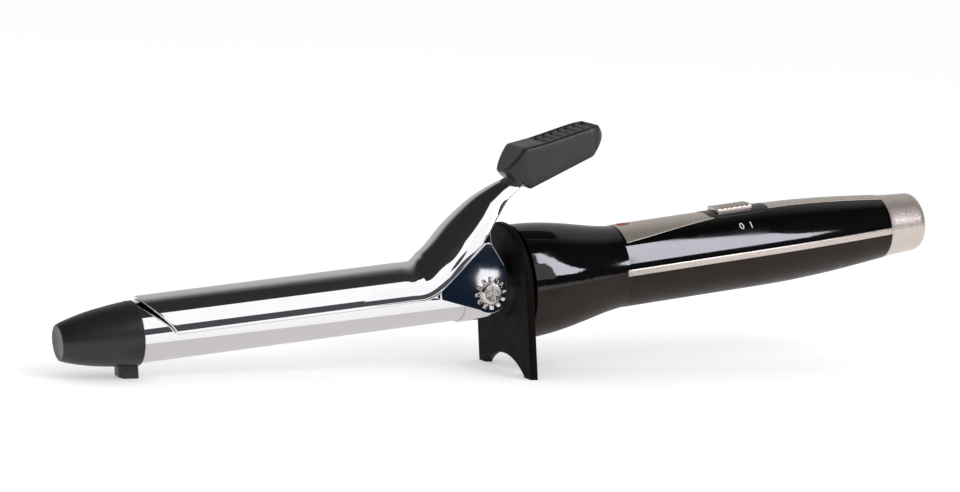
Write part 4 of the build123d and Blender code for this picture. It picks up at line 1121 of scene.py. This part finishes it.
# ---------------------------------------------------------------- end cap
def cap_shape():
    """End cap: a wall loop of taper, rounded corner, crowned face, bore, inner wall and spigot, turned."""
    corner, taper, crown, bore, inner, spigot, hollow, lip = 2.9, 0.9, 0.6, 5.02, 8.1, 9.65, 11.0, 0.15
    rear = cap_high[1] - 0.1
    joint_place, end = strip_high[0], cap_high[0]
    rounding = np.linspace(0, pi / 2, 9)
    shoulder = end - crown - corner
    side = np.linspace(joint_place + 1.2, shoulder, 10)
    mouth = rear - taper - corner
    face = np.linspace(mouth, bore + 0.4, 8)[1:]
    places = np.concatenate([
        [joint_place + lip, joint_place + 0.35], side,
        (shoulder + corner * np.sin(rounding))[1:], end - crown * (face / mouth) ** 2,
        [end - crown * (bore / mouth) ** 2 - 0.35, joint_place + hollow, joint_place + hollow,
         cap_low[0], cap_low[0], joint_place, joint_place + lip]])
    radii = np.concatenate([
        [rear - lip, rear + 0.05], rear - taper * (side - joint_place) / (shoulder - joint_place),
        (mouth + corner * np.cos(rounding))[1:], face,
        [bore, bore, inner, inner, spigot, spigot, rear - 0.3]])
    return grid(turned(places, radii, 128), close_rows=True)


class IRON_OT_end_cap(Operator):
    """Build the end cap and dress the cord outlet"""
    bl_idname = "iron.end_cap"
    bl_label = "End cap"
    bl_options = {"REGISTER", "UNDO"}

    def execute(self, context):
        make_piece("cap", cap_shape(), HANDLE, finish_of("champagne_metallic"), ("end_cap",), crease=35.0)
        dress(finish_of("tip_black"), "cord_swivel")
        return {"FINISHED"}


# ---------------------------------------------------------------- inner parts
inner_finishes = (
    ("chrome_plate", "hinge_bracket"), ("plated_steel", "housing_screws"),
    ("extruded_aluminium", "heat_spreader_upper", "heat_spreader_lower"),
    ("contact_brass", "electrode_strips", "slip_rings", "brush_contacts"),
    ("sintered_ceramic", "ptc_stones", "thermal_fuse", "temperature_sensor"),
    ("amber_film", "heater_sleeve"), ("board_laminate", "circuit_board"), ("wire_jacket", "heater_leads"),
    ("heatproof_black", "switch_body"), ("smoke_satin", "tip_insulator"),
)


class IRON_OT_inner_parts(Operator):
    """Dress the heater, the switch gear and the slip rings"""
    bl_idname = "iron.inner_parts"
    bl_label = "Inner parts"
    bl_options = {"REGISTER", "UNDO"}

    def execute(self, context):
        for finish, *nodes in inner_finishes:
            dress(finish_of(finish), *nodes)
        return {"FINISHED"}


# ---------------------------------------------------------------- stage
def floor():
    """Plain pale floor that keeps the shadow; seen directly or in a mirror it gets a little light of its own."""
    half, own_light = 6.0, 0.33
    mesh = bpy.data.meshes.new("floor")
    mesh.from_pydata([(-half, -half, 0), (half, -half, 0), (half, half, 0), (-half, half, 0)], [], [(0, 1, 2, 3)])
    finish = Finish("floor_pale", bpy.context.scene.iron_stage.floor_colour, Roughness=0.7, Specular_IOR_Level=0.0,
                    Emission_Color=(1.0, 1.0, 1.0, 1.0))
    finish.shade(noise(250), 0.995, 1.0)
    finish.links.new(seen_directly(finish.nodes, finish.links, own_light), finish.shader.inputs["Emission Strength"])
    mesh.materials.append(finish.material)
    piece = add_object("floor", mesh)


def seen_directly(nodes, links, share):
    """A value of share for camera, glossy and transmission rays and 0 for the rest."""
    path = add_node(nodes, "LightPath")
    total = path.outputs["Is Camera Ray"]
    for ray in ("Is Glossy Ray", "Is Transmission Ray"):
        most = add_node(nodes, "Math")
        most.operation = "MAXIMUM"
        links.new(total, most.inputs[0])
        links.new(path.outputs[ray], most.inputs[1])
        total = most.outputs["Value"]
    scaled = add_node(nodes, "Math")
    scaled.operation = "MULTIPLY"
    scaled.inputs[1].default_value = share
    links.new(total, scaled.inputs[0])
    return scaled.outputs["Value"]


def ramp(nodes, links, value, stops):
    """Colour ramp of a value between stops of place and level."""
    node = add_node(nodes, "ValToRGB")
    elements = node.color_ramp.elements
    while len(elements) < len(stops):
        elements.new(0.5)
    for element, (place, level) in zip(elements, stops):
        element.position, element.color = place, (*level, 1.0)
    links.new(value, node.inputs["Fac"])
    return node.outputs["Color"]


# Levels that the chrome sees, by how far a direction points up and to the left: overhead, then in front and behind.
overhead = ((0.92, (0.032, 0.030, 0.029)), (1.0, (0.026, 0.024, 0.024)))
in_front = ((0.50, (0.075, 0.077, 0.088)), (0.66, (0.070, 0.072, 0.080)), (0.80, (0.050, 0.050, 0.052)), *overhead)
behind = ((0.50, (0.54, 0.54, 0.54)), (0.79, (0.47, 0.47, 0.465)), (0.85, (0.27, 0.265, 0.26)),
          (0.885, (0.12, 0.117, 0.115)), *overhead)
front_to_back = ((0.46, (0, 0, 0)), (0.60, (1, 1, 1)))


def studio_world():
    """Studio seen in the chrome: dark in front and overhead, grey behind; even light for the rest."""
    world = bpy.data.worlds.new("studio")
    bpy.context.scene.world = world
    world.use_nodes = True
    nodes, links = world.node_tree.nodes, world.node_tree.links
    nodes.clear()
    direction = add_node(nodes, "TexCoord").outputs["Generated"]
    unit = []
    for way in ((-0.45, 0.0, 1.0), ACROSS):
        part, share = add_node(nodes, "VectorMath"), add_node(nodes, "MapRange", From_Min=-1.0)
        part.operation = "DOT_PRODUCT"
        part.inputs[1].default_value = way
        links.new(direction, part.inputs[0])
        links.new(part.outputs["Value"], share.inputs["Value"])
        unit.append(share.outputs["Result"])
    mix = nodes.new("ShaderNodeMix")
    mix.data_type = "RGBA"
    for socket, value, stops in (("A", unit[0], in_front), ("B", unit[0], behind), ("Factor", unit[1], front_to_back)):
        links.new(ramp(nodes, links, value, stops), mix.inputs[socket])
    seen = add_node(nodes, "Background")
    links.new(mix.outputs["Result"], seen.inputs["Color"])
    even = add_node(nodes, "Background", Color=(1.0, 1.0, 1.0, 1.0), Strength=bpy.context.scene.iron_stage.plain_level)
    choice, output = add_node(nodes, "MixShader"), add_node(nodes, "OutputWorld")
    links.new(seen_directly(nodes, links, 1.0), choice.inputs["Fac"])
    links.new(even.outputs["Background"], choice.inputs[1])
    links.new(seen.outputs["Background"], choice.inputs[2])
    links.new(choice.outputs["Shader"], output.inputs["Surface"])


def card(name, place, way, outline, level):
    """Flat panel that only mirrors see, at a place along Y or Z and glowing at that level."""
    mesh = bpy.data.meshes.new(name)
    corners = [(u, place, v) if way == "Y" else (u, v, place) for u, v in outline]
    mesh.from_pydata(corners, [], [tuple(range(len(corners)))])
    piece = add_object(name, mesh)
    material = bpy.data.materials.new(name)
    material.use_nodes = True
    nodes, links = material.node_tree.nodes, material.node_tree.links
    nodes.clear()
    glow, output = add_node(nodes, "Emission", Color=(*level, 1.0)), add_node(nodes, "OutputMaterial")
    links.new(glow.outputs["Emission"], output.inputs["Surface"])
    mesh.materials.append(material)
    for ray in ("camera", "diffuse", "transmission", "volume_scatter", "shadow"):
        setattr(piece, f"visible_{ray}", False)
    return piece


def keep_off(piece, *nodes):
    """Keep a card's light off CAD nodes whose tops would clip to white in it, seen from behind."""
    spared = bpy.data.collections.new(f"{piece.name}_spares")
    for node in nodes:
        spared.objects.link(frame["nodes"][node])
    for entry in spared.collection_objects:
        entry.light_linking.link_state = "EXCLUDE"
    piece.light_linking.receiver_collection = spared


def soft_light(name, place, target, size, power):
    """Rectangular soft light that isn't seen in mirrors."""
    light = bpy.data.lights.new(name, "AREA")
    light.shape = "RECTANGLE"
    light.size, light.size_y = size
    light.energy = power
    lamp = add_object(name, light)
    lamp.location = place
    lamp.rotation_euler = (Vector(target) - Vector(place)).to_track_quat("-Z", "Y").to_euler()
    lamp.visible_glossy = lamp.visible_camera = False


def camera():
    """Camera aimed past the pivot; its roll keeps the barrel's slope in the picture as it is on the table."""
    settings = bpy.context.scene.iron_stage
    level_pitch, lens, shift = radians(2.7304), 131.491125, (0.00444791667, 0.0435520833)
    azimuth, elevation = settings.azimuth, settings.elevation
    view = Vector((sin(azimuth) * cos(elevation), cos(azimuth) * cos(elevation), -sin(elevation)))
    right = Vector((cos(azimuth), -sin(azimuth), 0))
    roll = Matrix.Rotation(level_pitch + pitch_turn, 3, "Y")
    axes = Matrix([roll @ way for way in (right, right.cross(view), -view)]).transposed()
    data = bpy.data.cameras.new("camera")
    data.sensor_width, data.lens, data.clip_end = 36, lens, 50
    data.shift_x, data.shift_y = shift
    eye = add_object("camera", data)
    eye.matrix_world = Matrix.Translation(Vector(pivot) - (roll @ view) * settings.distance) @ axes.to_4x4()
    bpy.context.scene.camera = eye


# Panels seen in the mirrors: name, place, the axis it stands on, outline in metres and level.
cards = (
    ("handle_softbox", -0.362, "Y", [(0.205, 0.143), (0.345, 0.15), (0.387, 0.20), (0.326, 0.283), (0.307, 0.385),
                                     (0.317, 0.567), (0.368, 0.826), (0.325, 0.826), (0.216, 0.40)],
     (12.2, 12.2, 13.6)),
    ("barrel_softbox", -0.36, "Y", [(-0.16, 0.155), (0.20, 0.155), (0.205, 0.75), (0.0, 0.75), (-0.01, 0.46),
                                    (-0.16, 0.30)], (1.15, 1.15, 1.15)),
    ("lever_fill", -0.10, "Y", [(-0.03, 0.054), (0.06, 0.054), (0.06, 0.12), (-0.02, 0.12)], (1.1, 1.1, 1.12)),
    # A grey panel on the floor under the barrel that only mirrors see: a painted shadow, the shade under the iron as
    # the chrome shows it.
    ("under_barrel", 0.002, "Z", [(-0.15, -0.028), (0.06, -0.028), (0.06, 0.10), (-0.15, 0.10)], (0.67, 0.65, 0.64)),
    ("ear_flag", 0.002, "Z", [(0.025, -0.10), (0.025, -0.20), (0.08, -0.35), (0.17, -0.35), (0.11, -0.10)],
     (0.008, 0.014, 0.028)),
    ("ear_glint", 0.003, "Z", [(0.071, -0.200), (0.077, -0.204), (0.096, -0.232), (0.104, -0.249), (0.097, -0.253),
                               (0.083, -0.227)], (1.1, 1.1, 1.18)),
)


class IRON_OT_stage(Operator):
    """Set up the floor, the studio, the lights and the camera"""
    bl_idname = "iron.stage"
    bl_label = "Stage"
    bl_options = {"REGISTER", "UNDO"}

    def execute(self, context):
        floor()
        studio_world()
        panels = {values[0]: card(*values) for values in cards}
        keep_off(panels["handle_softbox"], "top_trim_front", "top_trim_rear", "switch_bezel")
        soft_light("key", (0.35, -0.9, 0.9), (0.0, 0.0, 0.03), (0.9, 0.5), context.scene.iron_stage.key_power)
        camera()
        context.scene.view_settings.view_transform = "Standard"
        return {"FINISHED"}


# ---------------------------------------------------------------- panel and registration
operators = (IRON_OT_tip, IRON_OT_barrel, IRON_OT_clamp, IRON_OT_hinge_screws, IRON_OT_spring,
             IRON_OT_thumb_rest, IRON_OT_stand, IRON_OT_shells, IRON_OT_trims, IRON_OT_switch, IRON_OT_lamp,
             IRON_OT_marks, IRON_OT_end_cap, IRON_OT_inner_parts, IRON_OT_stage)
settings_groups = {"iron_sizes": IronSizes, "iron_finishes": IronFinishes, "iron_stage": IronStage}


class IRON_PT_panel(Panel):
    """Lists the pieces, their settings and the stage"""
    bl_idname = "IRON_PT_panel"
    bl_label = "Curling Iron"
    bl_space_type = "VIEW_3D"
    bl_region_type = "UI"
    bl_category = "Iron"

    def draw(self, context):
        for name, group in settings_groups.items():
            box = self.layout.box()
            box.label(text=group.__doc__.rstrip("."))
            for key in group.__annotations__:
                box.prop(getattr(context.scene, name), key)
        for operator in operators:
            self.layout.operator(operator.bl_idname)


def register():
    for group in settings_groups.values():
        bpy.utils.register_class(group)
    for name, group in settings_groups.items():
        setattr(bpy.types.Scene, name, PointerProperty(type=group))
    for entry in (*operators, IRON_PT_panel):
        bpy.utils.register_class(entry)


def unregister():
    for entry in (IRON_PT_panel, *reversed(operators)):
        bpy.utils.unregister_class(entry)
    for name, group in settings_groups.items():
        delattr(bpy.types.Scene, name)
        bpy.utils.unregister_class(group)


def main():
    register()
    for operator in operators:
        group, name = operator.bl_idname.split(".")
        getattr(getattr(bpy.ops, group), name)()


if __name__ == "__main__":
    main()
